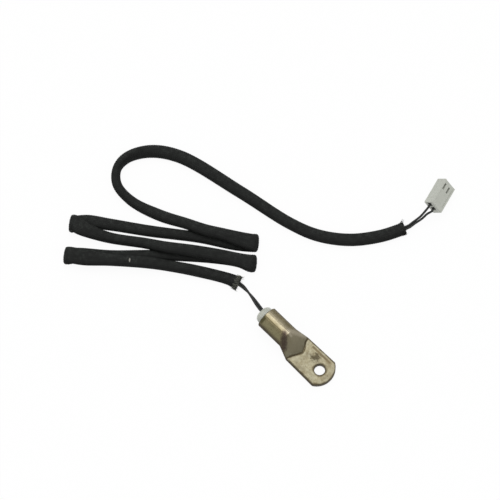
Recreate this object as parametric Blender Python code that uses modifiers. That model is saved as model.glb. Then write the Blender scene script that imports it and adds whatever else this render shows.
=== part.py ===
"""A heat sensor: a thermistor potted in a tubular ring terminal, on a sleeved two-wire lead.

Metres, +Z up. The terminal lies along X with its tip at +X, flat on Z = 0. The lead and its
connector are laid out in a second frame, turned about Z, whose X runs along the folded legs.
"""

import math

import bmesh
import bpy
from mathutils import Matrix, Vector

# Ring terminal
BARREL_DIAMETER = 0.0091
BARREL_WALL = 0.0011
BARREL_LENGTH = 0.0119
MOUTH_CHAMFER = 0.00025
PALM_THICKNESS = 0.0026
PALM_EDGE_ROUND = 0.0005
PALM_WIDTH_AT_NECK = 0.0124
PALM_WIDTH_AT_TIP = 0.0129
NECK_LENGTH = 0.0050
NECK_PEAK_LENGTH = 0.0079
LUG_LENGTH = 0.0350
TIP_ARC_OVERSIZE = 0.00095
TIP_EDGE_CHAMFER = 0.00025
HOLE_DIAMETER = 0.0043
HOLE_CHAMFER = 0.0002
HOLE_FROM_TIP = 0.0057
BORE_CONE_LENGTH = 0.0022
BORE_CONE_END_RADIUS = 0.0008

# Potting and what it holds
POTTING_DOME = 0.0030
DOME_FULLNESS = 3.0
POTTING_LIP = 0.00015
POTTING_DEPTH = 0.0112
FIT_GAP = 0.00015
BEAD_DIAMETER = 0.0026
BEAD_LENGTH = 0.0034
BEAD_DEPTH = 0.0089
LEAD_DIAMETER = 0.0003
LEAD_SPACING_AT_BEAD = 0.0010
LEAD_IN_BEAD = 0.0007
JOINT_SLEEVE_WALL = 0.0002
JOINT_SLEEVE_LENGTH = 0.0035
JOINT_SLEEVE_DEPTH = 0.0030
JOINT_SPACING = 0.0022

# Wires and braided sleeve
WIRE_DIAMETER = 0.0009
WIRE_SPACING = 0.0010
WIRE_OVERLAP = 0.0016
SLEEVE_WALL = 0.00032
BRAID_SQUARENESS = 2.3
FOLD_LOW = 0.0011
FOLD_HIGH = 0.0035
FOLD_THICKNESS = 0.0017
SLEEVE_STEP = 0.0045
WIRE_STEP = 0.0150
FREE_WIRE_STEP = 0.0027

# Connector housing and its contacts
HOUSING_LENGTH = 0.0120
HOUSING_WIDTH = 0.0067
HOUSING_THICKNESS = 0.0045
HOUSING_EDGE = 0.0002
RIB_WIDTH = 0.0008
RIB_HEIGHT = 0.00025
RIB_SETBACK = 0.0020
CONTACT_PITCH = 0.0025
CAVITY_SIZE = 0.0019
CAVITY_SHIFT = 0.0006
CAVITY_DROP = 0.0001
FRONT_WALL = 0.0010
PIN_ENTRY_SIZE = 0.0010
WINDOW_LENGTH = 0.0028
WINDOW_WIDTH = 0.0009
WINDOW_FROM_FRONT = 0.0028
CONTACT_SIZE = 0.00155
CONTACT_WALL = 0.0002
CONTACT_BOX_LENGTH = 0.0042
CONTACT_NECK_LENGTH = 0.0014
CONTACT_NECK_SIZE = 0.0012
CONTACT_BARREL_LENGTH = 0.0026
CONTACT_SETBACK = 0.0002
WIRE_IN_CONTACT = 0.0019

# How the lead lies beside the terminal
LAYOUT_TURN = math.radians(45.2)
HOUSING_PLACE = (0.0564, 0.0607)
HOUSING_YAW = math.radians(62.1)
HOUSING_PITCH = math.radians(10.9)
HOUSING_ROLL = math.radians(46.0)
FLOOR_GAP = 0.0001

# A run steeper than this, as the sine of its angle from upright, keeps its sideways direction.
LEVEL_RUN = 0.9

# Facets
ROUND_SEGMENTS = 40
SMALL_SEGMENTS = 16
SLEEVE_SEGMENTS = 14
DOME_STEPS = 8
FOLD_STEPS = 4
SMOOTH_LIMIT = math.radians(35.0)

# Lengths that follow from the sizes above
BARREL_RADIUS = BARREL_DIAMETER / 2
BORE_RADIUS = BARREL_RADIUS - BARREL_WALL
TIP_ARC_RADIUS = PALM_WIDTH_AT_TIP / 2 + TIP_ARC_OVERSIZE
MOUTH_X = (POTTING_DOME - LUG_LENGTH) / 2
TIP_X = MOUTH_X + LUG_LENGTH
HOLE_X = TIP_X - HOLE_FROM_TIP
JOINT_SLEEVE_BORE = WIRE_DIAMETER + 2 * FIT_GAP
JOINT_SLEEVE_DIAMETER = JOINT_SLEEVE_BORE + 2 * JOINT_SLEEVE_WALL

# The route of the braided sleeve in the layout frame, from the terminal to the connector.
# Each row is x, y and height of the sleeve's centre, its width and thickness there, and how
# many degrees it is rolled onto its edge. A fold is its outermost x, the y of its upper and
# lower run, and its width.
LEG_FROM_TERMINAL = [
    (-0.0219, 0.0258, 0.0015, 0.0058, 0.0026, 0),
    (-0.0254, 0.0275, 0.0017, 0.0048, 0.0030, 0),
    (-0.0391, 0.0311, 0.0018, 0.0045, 0.0034, 0),
    (-0.0508, 0.0331, 0.0025, 0.0044, 0.0031, 0),
    (-0.0585, 0.0339, 0.0037, 0.0048, 0.0026, 0),
    (-0.0722, 0.0347, 0.0042, 0.0048, 0.0026, 0),
    (-0.0820, 0.0357, 0.0039, 0.0058, 0.0023, 0),
]
FOLD_1 = (-0.0902, 0.0370, 0.0373, 0.0068)
LEG_2 = [
    (-0.0835, 0.0377, 0.00115, 0.0058, 0.0021, 0),
    (-0.0722, 0.0372, 0.0014, 0.0047, 0.0025, 0),
    (-0.0527, 0.0375, 0.0014, 0.0043, 0.0025, 0),
    (-0.0312, 0.0366, 0.0014, 0.0050, 0.0024, 0),
    (-0.0215, 0.0353, 0.0012, 0.0056, 0.0021, 0),
]
FOLD_2 = (-0.0149, 0.0337, 0.0339, 0.0067)
LEG_3 = [
    (-0.0210, 0.0346, 0.0036, 0.0058, 0.0021, 0),
    (-0.0293, 0.0365, 0.0041, 0.0051, 0.0025, 0),
    (-0.0400, 0.0384, 0.0043, 0.0048, 0.0026, 0),
    (-0.0508, 0.0401, 0.0039, 0.0045, 0.0028, 0),
    (-0.0585, 0.0421, 0.0024, 0.0042, 0.0031, 0),
    (-0.0722, 0.0445, 0.0018, 0.0043, 0.0032, 0),
    (-0.0802, 0.0471, 0.0034, 0.0053, 0.0025, 0),
]
FOLD_3 = (-0.0882, 0.0496, 0.0501, 0.0060)
LEG_4 = [
    (-0.0810, 0.0508, 0.0012, 0.0054, 0.0022, 0),
    (-0.0722, 0.0500, 0.0016, 0.0048, 0.0029, 0),
    (-0.0566, 0.0473, 0.0017, 0.0045, 0.0032, 0),
    (-0.0371, 0.0448, 0.0014, 0.0045, 0.0025, 0),
    (-0.0230, 0.0426, 0.00125, 0.0062, 0.0021, 0),
]
FOLD_4 = (-0.0141, 0.0421, 0.0423, 0.0069)
LEG_TO_CONNECTOR = [
    (-0.0200, 0.0430, 0.0036, 0.0062, 0.0021, 0),
    (-0.0285, 0.0454, 0.0040, 0.0048, 0.0025, 0),
    (-0.0350, 0.0470, 0.0041, 0.0046, 0.0026, 0),
    (-0.0425, 0.0500, 0.0029, 0.0044, 0.0029, 0),
    (-0.0527, 0.0537, 0.0018, 0.0046, 0.0032, 0),
    (-0.0638, 0.0595, 0.0020, 0.0042, 0.0033, 35),
    (-0.0695, 0.0662, 0.0022, 0.0042, 0.0035, 70),
    (-0.0696, 0.0728, 0.0022, 0.0042, 0.0033, 75),
    (-0.0656, 0.0775, 0.0021, 0.0045, 0.0036, 50),
    (-0.0566, 0.0801, 0.0018, 0.0050, 0.0031, 15),
    (-0.0449, 0.0779, 0.0017, 0.0052, 0.0029, 0),
    (-0.0214, 0.0634, 0.0017, 0.0049, 0.0030, 0),
    (-0.0019, 0.0504, 0.0017, 0.0047, 0.0030, 0),
    (0.0090, 0.0455, 0.0017, 0.0049, 0.0030, 0),
    (0.0214, 0.0437, 0.0017, 0.0050, 0.0029, 0),
    (0.0331, 0.0452, 0.0017, 0.0050, 0.0029, 0),
    (0.0428, 0.0484, 0.0017, 0.0050, 0.0030, 0),
]

# The bare wires: from the potting to the sleeve, and from the sleeve to the connector.
POTTING_EXIT_SIDE = 0.0006
POTTING_EXIT_RISE = 0.00015
PAIR_TO_SLEEVE = [
    (-0.0148, 0.0165, 0.0043),
    (-0.0164, 0.0192, 0.0035),
    (-0.0186, 0.0225, 0.0023),
    (-0.0204, 0.0246, 0.0017),
]
PAIR_FROM_SLEEVE = [
    (0.0447, 0.0493, 0.0019),
    (0.0465, 0.0506, 0.0024),
]
SPLIT_TO_CONNECTOR = {
    1: [(0.0488, 0.0527, 0.0046), (0.0505, 0.0542, 0.0064)],
    2: [(0.0497, 0.0519, 0.0034), (0.0517, 0.0533, 0.0048)],
}
ENTRY_RUN = 0.0014


def clear_scene():
    """Remove whatever the file holds."""
    for item in list(bpy.data.objects):
        bpy.data.objects.remove(item, do_unlink=True)


def make_collection(name):
    collection = bpy.data.collections.new(name)
    bpy.context.scene.collection.children.link(collection)
    return collection


def make_material(name, color, roughness, metallic=0.0):
    material = bpy.data.materials.new(name)
    material.use_nodes = True
    shader = material.node_tree.nodes["Principled BSDF"]
    shader.inputs["Base Color"].default_value = (*color, 1.0)
    shader.inputs["Roughness"].default_value = roughness
    shader.inputs["Metallic"].default_value = metallic
    return material


def add_object(name, data, collection, material=None, parent=None):
    item = bpy.data.objects.new(name, data)
    collection.objects.link(item)
    if material is not None:
        data.materials.append(material)
    if parent is not None:
        item.parent = parent
    return item


def add_empty(name, location, rotation, parent=None):
    empty = bpy.data.objects.new(name, None)
    bpy.context.scene.collection.objects.link(empty)
    empty.location = location
    empty.rotation_euler = rotation
    if parent is not None:
        empty.parent = parent
    return empty


def smooth(item):
    item.data.shade_smooth()
    item.data.set_sharp_from_angle(angle=SMOOTH_LIMIT)


def turned(name, profile, collection, material=None, segments=ROUND_SEGMENTS):
    """A turned piece about its local Z; the profile of (radius, z) runs down its outer side."""
    mesh = bpy.data.meshes.new(name)
    points = [(radius, 0.0, z) for radius, z in profile]
    edges = [(i, i + 1) for i in range(len(points) - 1)]
    mesh.from_pydata(points, edges, [])
    item = add_object(name, mesh, collection, material)
    screw = item.modifiers.new("turn", "SCREW")
    screw.axis = "Z"
    screw.steps = segments
    screw.render_steps = segments
    screw.use_merge_vertices = True
    screw.merge_threshold = 0.000001
    screw.use_smooth_shade = True
    return item


def lay_along_barrel(item, depth=0.0, side=0.0):
    """Turn a piece so that its Z points out of the barrel's mouth, at a depth inside it."""
    item.rotation_euler = (0.0, -math.pi / 2, 0.0)
    item.location = (MOUTH_X + depth, side, BARREL_RADIUS)


def box(name, size, center, collection, material=None, parent=None):
    """A box of full size (x, y, z) about a centre, with its scale applied."""
    mesh = bpy.data.meshes.new(name)
    shape = bmesh.new()
    bmesh.ops.create_cube(shape, size=1.0)
    bmesh.ops.scale(shape, vec=size, verts=shape.verts)
    bmesh.ops.translate(shape, vec=center, verts=shape.verts)
    shape.to_mesh(mesh)
    shape.free()
    return add_object(name, mesh, collection, material, parent)


def tube(name, points, diameter, collection, material=None, parent=None):
    """A round wire along points."""
    curve = bpy.data.curves.new(name, "CURVE")
    curve.dimensions = "3D"
    curve.bevel_depth = diameter / 2
    curve.bevel_resolution = 2
    curve.use_fill_caps = True
    spline = curve.splines.new("POLY")
    spline.points.add(len(points) - 1)
    for slot, point in zip(spline.points, points):
        slot.co = (*point, 1.0)
    return add_object(name, curve, collection, material, parent)


def tube_cutter(name, points, diameter, collection):
    """A closed mesh along points, for cutting a channel."""
    guide = tube(name + "_guide", points, diameter, collection)
    bpy.context.view_layer.update()
    graph = bpy.context.evaluated_depsgraph_get()
    mesh = bpy.data.meshes.new_from_object(guide.evaluated_get(graph))
    shape = bmesh.new()
    shape.from_mesh(mesh)
    bmesh.ops.remove_doubles(shape, verts=shape.verts, dist=0.000001)
    bmesh.ops.recalc_face_normals(shape, faces=shape.faces)
    shape.to_mesh(mesh)
    shape.free()
    cutter = add_object(name, mesh, collection)
    cutter.matrix_world = guide.matrix_world.copy()
    bpy.data.objects.remove(guide, do_unlink=True)
    return cutter


def cut(item, *cutters):
    for cutter in cutters:
        cutter.hide_render = True
        cutter.display_type = "WIRE"
        boolean = item.modifiers.new("cut_" + cutter.name, "BOOLEAN")
        boolean.operation = "DIFFERENCE"
        boolean.solver = "EXACT"
        boolean.object = cutter


def smooth_curve(points, step):
    """Points read from a smooth curve through the given ones, about a step apart.

    Every number of a point is carried along, so widths change as smoothly as places.
    """
    knots = [Vector(point) for point in points]
    ends = [2 * knots[0] - knots[1], 2 * knots[-1] - knots[-2]]
    padded = [ends[0], *knots, ends[1]]
    result = []
    for i in range(1, len(padded) - 2):
        before, start, end, after = padded[i - 1:i + 3]
        gaps = [max((b.xyz - a.xyz).length, 1e-9) ** 0.5
                for a, b in ((before, start), (start, end), (end, after))]
        slope_in = ((start - before) / gaps[0] - (end - before) / (gaps[0] + gaps[1])
                    + (end - start) / gaps[1]) * gaps[1]
        slope_out = ((end - start) / gaps[1] - (after - start) / (gaps[1] + gaps[2])
                     + (after - end) / gaps[2]) * gaps[1]
        pieces = max(1, round((end.xyz - start.xyz).length / step))
        for piece in range(pieces):
            t = piece / pieces
            result.append(
                (2 * t**3 - 3 * t**2 + 1) * start + (t**3 - 2 * t**2 + t) * slope_in
                + (3 * t**2 - 2 * t**3) * end + (t**3 - t**2) * slope_out)
    result.append(knots[-1])
    return result


def fold(place, rising, left):
    """The sleeve's turn back over itself, as a half circle in a vertical plane."""
    edge, y_high, y_low, width = place
    radius = (FOLD_HIGH - FOLD_LOW) / 2
    outward = -1.0 if left else 1.0
    center_x = edge - outward * (radius + FOLD_THICKNESS / 2)
    middle = (FOLD_HIGH + FOLD_LOW) / 2
    rows = []
    for step in range(FOLD_STEPS + 1):
        share = step / FOLD_STEPS
        angle = math.pi * (share - 0.5)
        rows.append((
            center_x + outward * radius * math.cos(angle),
            y_low + (y_high - y_low) * share,
            middle + radius * math.sin(angle),
            width,
            FOLD_THICKNESS,
            0.0))
    return rows if rising else rows[::-1]


def sleeve_route():
    """All rows of the sleeve's route, folds included."""
    return [
        *LEG_FROM_TERMINAL,
        *fold(FOLD_1, rising=False, left=True),
        *LEG_2,
        *fold(FOLD_2, rising=True, left=False),
        *LEG_3,
        *fold(FOLD_3, rising=False, left=True),
        *LEG_4,
        *fold(FOLD_4, rising=True, left=False),
        *LEG_TO_CONNECTOR,
    ]


def side_axes(points):
    """The direction along the points and a sideways one at each, which never flips.

    The sideways direction is carried along without twist, and turned level where the run is
    nearly level itself.
    """
    axes = []
    side = None
    for i in range(len(points)):
        before = points[max(i - 1, 0)]
        after = points[min(i + 1, len(points) - 1)]
        along = (after - before).normalized()
        level = Vector((0.0, 0.0, 1.0)).cross(along)
        if side is None:
            side = level
        carried = (side - along * side.dot(along)).normalized()
        if level.length > LEVEL_RUN:
            level *= math.copysign(1.0, level.dot(carried))
            carried = (carried + level.normalized()).normalized()
        side = carried
        axes.append((along, side))
    return axes


def rolled(along, side, degrees):
    """The sideways and upward directions of a section rolled about the run."""
    side = Matrix.Rotation(math.radians(degrees), 3, along) @ side
    return side, along.cross(side)


def oval(width, height, squareness, count):
    """Points around a section, from an ellipse at squareness 2 to nearly a box at 8."""
    points = []
    for i in range(count):
        angle = 2 * math.pi * i / count
        c = math.cos(angle)
        s = math.sin(angle)
        size = (abs(c) ** squareness + abs(s) ** squareness) ** (-1 / squareness)
        points.append((width / 2 * size * c, height / 2 * size * s))
    return points


def hollow_loft(name, frames, wall, count, collection, material, parent):
    """A tube through unlike sections.

    Each frame is a centre, a sideways and an upward direction, and a section's width, height
    and squareness. The inner wall lies a wall inside the outer one, and both ends are open.
    """
    shape = bmesh.new()
    outer_rings = []
    inner_rings = []
    for center, side, up, width, height, squareness in frames:
        for rings, inset in ((outer_rings, 0.0), (inner_rings, 2 * wall)):
            section = oval(width - inset, height - inset, squareness, count)
            rings.append([shape.verts.new(center + side * a + up * b) for a, b in section])
    start_rim = (inner_rings[0], outer_rings[0])
    end_rim = (outer_rings[-1], inner_rings[-1])
    strips = [start_rim, end_rim, *zip(outer_rings, outer_rings[1:]), *zip(inner_rings[1:], inner_rings)]
    for ring, following in strips:
        for j in range(count):
            k = (j + 1) % count
            shape.faces.new((ring[j], ring[k], following[k], following[j]))
    bmesh.ops.recalc_face_normals(shape, faces=shape.faces)
    mesh = bpy.data.meshes.new(name)
    shape.to_mesh(mesh)
    shape.free()
    item = add_object(name, mesh, collection, material, parent)
    smooth(item)
    return item


def section_point(angle, width, height, flat):
    """A point of a section that stands on z = 0: level over the flat, round at both sides."""
    y = width / 2 * math.cos(angle)
    over = max(0.0, abs(y) - flat / 2)
    reach = min(1.0, over / (width / 2 - flat / 2))
    sign = 1.0 if math.sin(angle) >= 0 else -1.0
    return y, height / 2 * (1 + sign * math.sqrt(1 - reach * reach))


def barrel_ring(angles, x, inset=0.0):
    radius = BARREL_RADIUS - inset
    return [(x, radius * math.cos(a), BARREL_RADIUS + radius * math.sin(a)) for a in angles]


def palm_neck_ring(angles):
    """Where the palm begins: straight below, and peaked towards the tip on top."""
    flat = PALM_WIDTH_AT_NECK - 2 * PALM_EDGE_ROUND
    ring = []
    for angle in angles:
        y, z = section_point(angle, PALM_WIDTH_AT_NECK, PALM_THICKNESS, flat)
        on_top = math.sin(angle) > 0
        peak = (NECK_PEAK_LENGTH - NECK_LENGTH) * (1 - abs(math.cos(angle))) if on_top else 0.0
        ring.append((MOUTH_X + BARREL_LENGTH + NECK_LENGTH + peak, y, z))
    return ring


def palm_tip_ring(angles, inset, squeeze):
    """The rounded tip's edge, set in from the arc and thinned by a squeeze on both faces."""
    width = PALM_WIDTH_AT_TIP
    flat = width - 2 * PALM_EDGE_ROUND
    radius = TIP_ARC_RADIUS - inset
    ring = []
    for angle in angles:
        y, z = section_point(angle, width, PALM_THICKNESS, flat)
        z = min(max(z, squeeze), PALM_THICKNESS - squeeze)
        x = TIP_X - TIP_ARC_RADIUS + math.sqrt(radius * radius - y * y)
        ring.append((x, y, z))
    return ring


def between(ring_a, ring_b, share):
    return [Vector(a).lerp(Vector(b), share) for a, b in zip(ring_a, ring_b)]


def make_terminal(parts, cutters, material):
    """The terminal: a round barrel pressed flat into a palm, lofted, then bored and drilled."""
    count = ROUND_SEGMENTS
    angles = [2 * math.pi * i / count for i in range(count)]
    barrel_end = barrel_ring(angles, MOUTH_X + BARREL_LENGTH)
    neck = palm_neck_ring(angles)
    tip = palm_tip_ring(angles, TIP_EDGE_CHAMFER, 0.0)
    rings = [
        barrel_ring(angles, MOUTH_X, MOUTH_CHAMFER),
        barrel_ring(angles, MOUTH_X + MOUTH_CHAMFER),
        barrel_end,
        between(barrel_end, neck, 0.5),
        neck,
        between(neck, tip, 0.5),
        tip,
        palm_tip_ring(angles, 0.0, TIP_EDGE_CHAMFER),
    ]
    shape = bmesh.new()
    verts = [[shape.verts.new(point) for point in ring] for ring in rings]
    for ring, following in zip(verts, verts[1:]):
        for j in range(count):
            k = (j + 1) % count
            shape.faces.new((ring[j], ring[k], following[k], following[j]))
    shape.faces.new(verts[0])
    last = verts[-1]
    for j in range(count // 2):
        corners = [last[j], last[j + 1], last[(count - j - 1) % count], last[(count - j) % count]]
        shape.faces.new(list(dict.fromkeys(corners)))
    bmesh.ops.recalc_face_normals(shape, faces=shape.faces)
    mesh = bpy.data.meshes.new("terminal_lug")
    shape.to_mesh(mesh)
    shape.free()
    lug = add_object("terminal_lug", mesh, parts, material)
    smooth(lug)

    bore_end = -BARREL_LENGTH
    bore = turned("bore_cutter", [
        (0.0, BARREL_WALL),
        (BORE_RADIUS + MOUTH_CHAMFER + BARREL_WALL, BARREL_WALL),
        (BORE_RADIUS + MOUTH_CHAMFER, 0.0),
        (BORE_RADIUS, -MOUTH_CHAMFER),
        (BORE_RADIUS, bore_end),
        (BORE_CONE_END_RADIUS, bore_end - BORE_CONE_LENGTH),
        (0.0, bore_end - BORE_CONE_LENGTH)], cutters)
    lay_along_barrel(bore)
    flare = HOLE_DIAMETER / 2 + HOLE_CHAMFER
    hole = turned("hole_cutter", [
        (0.0, PALM_THICKNESS + HOLE_CHAMFER),
        (flare + HOLE_CHAMFER, PALM_THICKNESS + HOLE_CHAMFER),
        (HOLE_DIAMETER / 2, PALM_THICKNESS - HOLE_CHAMFER),
        (HOLE_DIAMETER / 2, HOLE_CHAMFER),
        (flare + HOLE_CHAMFER, -HOLE_CHAMFER),
        (0.0, -HOLE_CHAMFER)], cutters)
    hole.location = (HOLE_X, 0.0, 0.0)
    cut(lug, bore, hole)
    return lug


def joint_side(number):
    """Which side of the barrel's axis a wire and its lead lie on."""
    return JOINT_SPACING / 2 if number == 1 else -JOINT_SPACING / 2


def in_barrel(depth, side, rise=0.0):
    """A place inside the barrel, by its depth from the mouth."""
    return Vector((MOUTH_X + depth, side, BARREL_RADIUS + rise))


def lead_route(number):
    """A thermistor lead, from inside its joint sleeve to inside the bead."""
    side = joint_side(number)
    bead_side = math.copysign(LEAD_SPACING_AT_BEAD / 2, side)
    sleeve_end = JOINT_SLEEVE_DEPTH + JOINT_SLEEVE_LENGTH
    bead_start = BEAD_DEPTH - BEAD_LENGTH / 2
    start = JOINT_SLEEVE_DEPTH + WIRE_OVERLAP + FIT_GAP
    return [
        in_barrel(start, side),
        in_barrel(sleeve_end, side),
        in_barrel(bead_start, bead_side),
        in_barrel(bead_start + LEAD_IN_BEAD, bead_side),
    ]


def channel(route, run):
    """A route with both ends carried on by a run, for a cutter that clears them."""
    first = (route[0] - route[1]).normalized() * run
    last = (route[-1] - route[-2]).normalized() * run
    return [route[0] + first, *route[1:-1], route[-1] + last]


def to_layout(point):
    """A place in the layout frame, from the terminal's frame."""
    return Matrix.Rotation(-LAYOUT_TURN, 4, "Z") @ Vector(point)


def wire_start(number):
    """The stretch of a wire inside the terminal, in the terminal's frame."""
    side = joint_side(number)
    exit_side = POTTING_EXIT_SIDE + math.copysign(WIRE_SPACING / 2, side)
    return [
        in_barrel(JOINT_SLEEVE_DEPTH + WIRE_OVERLAP, side),
        in_barrel(JOINT_SLEEVE_DEPTH, side),
        in_barrel(0.0, exit_side, POTTING_EXIT_RISE),
        in_barrel(-POTTING_DOME, exit_side, POTTING_EXIT_RISE),
    ]


def contact_side(number):
    """How far a contact and its cavity lie to the side of the connector's middle."""
    half = CONTACT_PITCH / 2 if number == 1 else -CONTACT_PITCH / 2
    return CAVITY_SHIFT + half


def contact_start():
    """Where a contact's rear end lies along the connector."""
    front = HOUSING_LENGTH / 2 - FRONT_WALL - CONTACT_SETBACK
    return front - CONTACT_BOX_LENGTH - CONTACT_NECK_LENGTH - CONTACT_BARREL_LENGTH


def housing_matrix():
    """The connector's own frame in the layout frame, with its lowest corner just off the floor."""
    turn = (Matrix.Rotation(HOUSING_YAW, 4, "Z") @ Matrix.Rotation(HOUSING_PITCH, 4, "Y")
            @ Matrix.Rotation(HOUSING_ROLL, 4, "X"))
    half = Vector((HOUSING_LENGTH, HOUSING_WIDTH, HOUSING_THICKNESS)) / 2
    reach = sum(abs(turn[2][i]) * half[i] for i in range(3))
    return Matrix.Translation((*HOUSING_PLACE, reach + FLOOR_GAP)) @ turn


def wire_route(number):
    """A whole wire in the layout frame, from its joint sleeve to its contact."""
    sign = 1.0 if number == 1 else -1.0
    start = [to_layout(point) for point in wire_start(number)]
    middle_rows = smooth_curve(sleeve_route(), WIRE_STEP)
    pair = [*(Vector(point) for point in PAIR_TO_SLEEVE),
            *(row.xyz for row in middle_rows),
            *(Vector(point) for point in PAIR_FROM_SLEEVE)]
    rolls = [180 * i / len(PAIR_TO_SLEEVE) for i in range(len(PAIR_TO_SLEEVE))]
    rolls += [180 + row[5] for row in middle_rows]
    rolls += [180 for _ in PAIR_FROM_SLEEVE]
    twisted = []
    for point, (along, side), roll in zip(pair, side_axes(pair), rolls):
        apart, _ = rolled(along, side, roll)
        twisted.append(point - apart * (sign * WIRE_SPACING / 2))
    frame = housing_matrix()
    rear = -HOUSING_LENGTH / 2
    entry = [frame @ Vector((x, contact_side(number), -CAVITY_DROP))
             for x in (rear - ENTRY_RUN, rear, contact_start() + WIRE_IN_CONTACT)]
    free_end = [twisted[-1], *(Vector(point) for point in SPLIT_TO_CONNECTOR[number]), *entry]
    free_start = [*start, *twisted[:len(PAIR_TO_SLEEVE) + 1]]
    smooth_start = smooth_curve(free_start, FREE_WIRE_STEP)
    smooth_end = smooth_curve(free_end, FREE_WIRE_STEP)
    return smooth_start[:-1] + twisted[len(PAIR_TO_SLEEVE):-1] + smooth_end


def make_potting(parts, cutters, materials):
    """The cast fill with the bead, leads and joint sleeves that it holds."""
    radius = BORE_RADIUS - FIT_GAP
    lip = BORE_RADIUS + POTTING_LIP
    turns = [math.pi / 2 * i / DOME_STEPS for i in range(DOME_STEPS)]
    power = 2 / DOME_FULLNESS
    dome = [(lip * math.sin(t) ** power, POTTING_DOME * math.cos(t) ** power) for t in turns]
    profile = [
        *dome,
        (lip, FIT_GAP),
        (radius, -MOUTH_CHAMFER),
        (radius, -POTTING_DEPTH),
        (0.0, -POTTING_DEPTH),
    ]
    potting = turned("potting", profile, parts, materials["potting"])
    lay_along_barrel(potting)

    bead = make_bead("thermistor_bead", 0.0, parts, materials["bead"])
    bead_pocket = make_bead("bead_pocket_cutter", FIT_GAP, cutters, None)
    cut(potting, bead_pocket)
    for number in (1, 2):
        route = lead_route(number)
        tube(f"thermistor_lead_{number}", route, LEAD_DIAMETER, parts, materials["lead"])
        make_joint_sleeve(number, parts, materials["joint_sleeve"])
        lead_run = channel(route, FIT_GAP)
        lead_bore = LEAD_DIAMETER + 2 * FIT_GAP
        lead_channel = tube_cutter(f"lead_channel_cutter_{number}", lead_run, lead_bore, cutters)
        wire_run = channel(smooth_curve(wire_start(number), FREE_WIRE_STEP), WIRE_DIAMETER)
        wire_bore = WIRE_DIAMETER + 2 * FIT_GAP
        wire_channel = tube_cutter(f"wire_channel_cutter_{number}", wire_run, wire_bore, cutters)
        pocket_radius = JOINT_SLEEVE_DIAMETER / 2 + FIT_GAP
        pocket = turned(f"joint_pocket_cutter_{number}", [
            (0.0, FIT_GAP),
            (pocket_radius, FIT_GAP),
            (pocket_radius, -JOINT_SLEEVE_LENGTH - FIT_GAP),
            (0.0, -JOINT_SLEEVE_LENGTH - FIT_GAP)], cutters, segments=SMALL_SEGMENTS)
        lay_along_barrel(pocket, JOINT_SLEEVE_DEPTH, joint_side(number))
        cut(potting, wire_channel, pocket, lead_channel)
        cut(bead, lead_channel)


def make_bead(name, grow, collection, material):
    """The bead, or its pocket where it is grown by a gap: a ball drawn out along the barrel."""
    rings = SMALL_SEGMENTS // 2
    mesh = bpy.data.meshes.new(name)
    shape = bmesh.new()
    bmesh.ops.create_uvsphere(shape, u_segments=SMALL_SEGMENTS, v_segments=rings, radius=1.0)
    size = (BEAD_LENGTH / 2 + grow, BEAD_DIAMETER / 2 + grow, BEAD_DIAMETER / 2 + grow)
    quarter = Matrix.Rotation(math.pi / 2, 3, "Y")
    bmesh.ops.rotate(shape, cent=(0, 0, 0), matrix=quarter, verts=shape.verts)
    bmesh.ops.scale(shape, vec=size, verts=shape.verts)
    shape.to_mesh(mesh)
    shape.free()
    bead = add_object(name, mesh, collection, material)
    bead.location = in_barrel(BEAD_DEPTH, 0.0)
    smooth(bead)
    return bead


def make_joint_sleeve(number, parts, material):
    """The shrunk sleeve over the joint of a wire and a thermistor lead: a short open tube."""
    outer = JOINT_SLEEVE_DIAMETER / 2
    inner = JOINT_SLEEVE_BORE / 2
    end = -JOINT_SLEEVE_LENGTH
    profile = [(inner, 0.0), (outer, 0.0), (outer, end), (inner, end), (inner, 0.0)]
    sleeve = turned(f"joint_sleeve_{number}", profile, parts, material, SMALL_SEGMENTS)
    lay_along_barrel(sleeve, JOINT_SLEEVE_DEPTH, joint_side(number))


def make_braided_sleeve(parts, material, layout):
    """The flattened, folded braid as a hollow loft along its route."""
    rows = smooth_curve(sleeve_route(), SLEEVE_STEP)
    centers = [row.xyz for row in rows]
    frames = []
    for row, center, (along, side) in zip(rows, centers, side_axes(centers)):
        width, thickness, roll = row[3:6]
        frames.append((center, *rolled(along, side, roll), width, thickness, BRAID_SQUARENESS))
    hollow_loft("braided_sleeve", frames, SLEEVE_WALL, SLEEVE_SEGMENTS, parts, material, layout)


def make_contact(number, parts, material, frame):
    """A crimp contact: a round barrel on the wire, a neck and a square box for the pin."""
    barrel = WIRE_DIAMETER + 2 * FIT_GAP + 2 * CONTACT_WALL
    start = contact_start()
    neck_start = start + CONTACT_BARREL_LENGTH
    box_start = neck_start + CONTACT_NECK_LENGTH
    stations = [
        (start, barrel, 2.0),
        (neck_start, barrel, 2.0),
        (neck_start + CONTACT_NECK_LENGTH / 2, CONTACT_NECK_SIZE, 3.0),
        (box_start, CONTACT_SIZE, 7.0),
        (box_start + CONTACT_BOX_LENGTH, CONTACT_SIZE, 7.0),
    ]
    across = Vector((0, 1, 0))
    up = Vector((0, 0, 1))
    frames = []
    for x, size, squareness in stations:
        center = Vector((x, contact_side(number), -CAVITY_DROP))
        frames.append((center, across, up, size, size, squareness))
    hollow_loft(f"contact_{number}", frames, CONTACT_WALL, SMALL_SEGMENTS, parts, material, frame)


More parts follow.
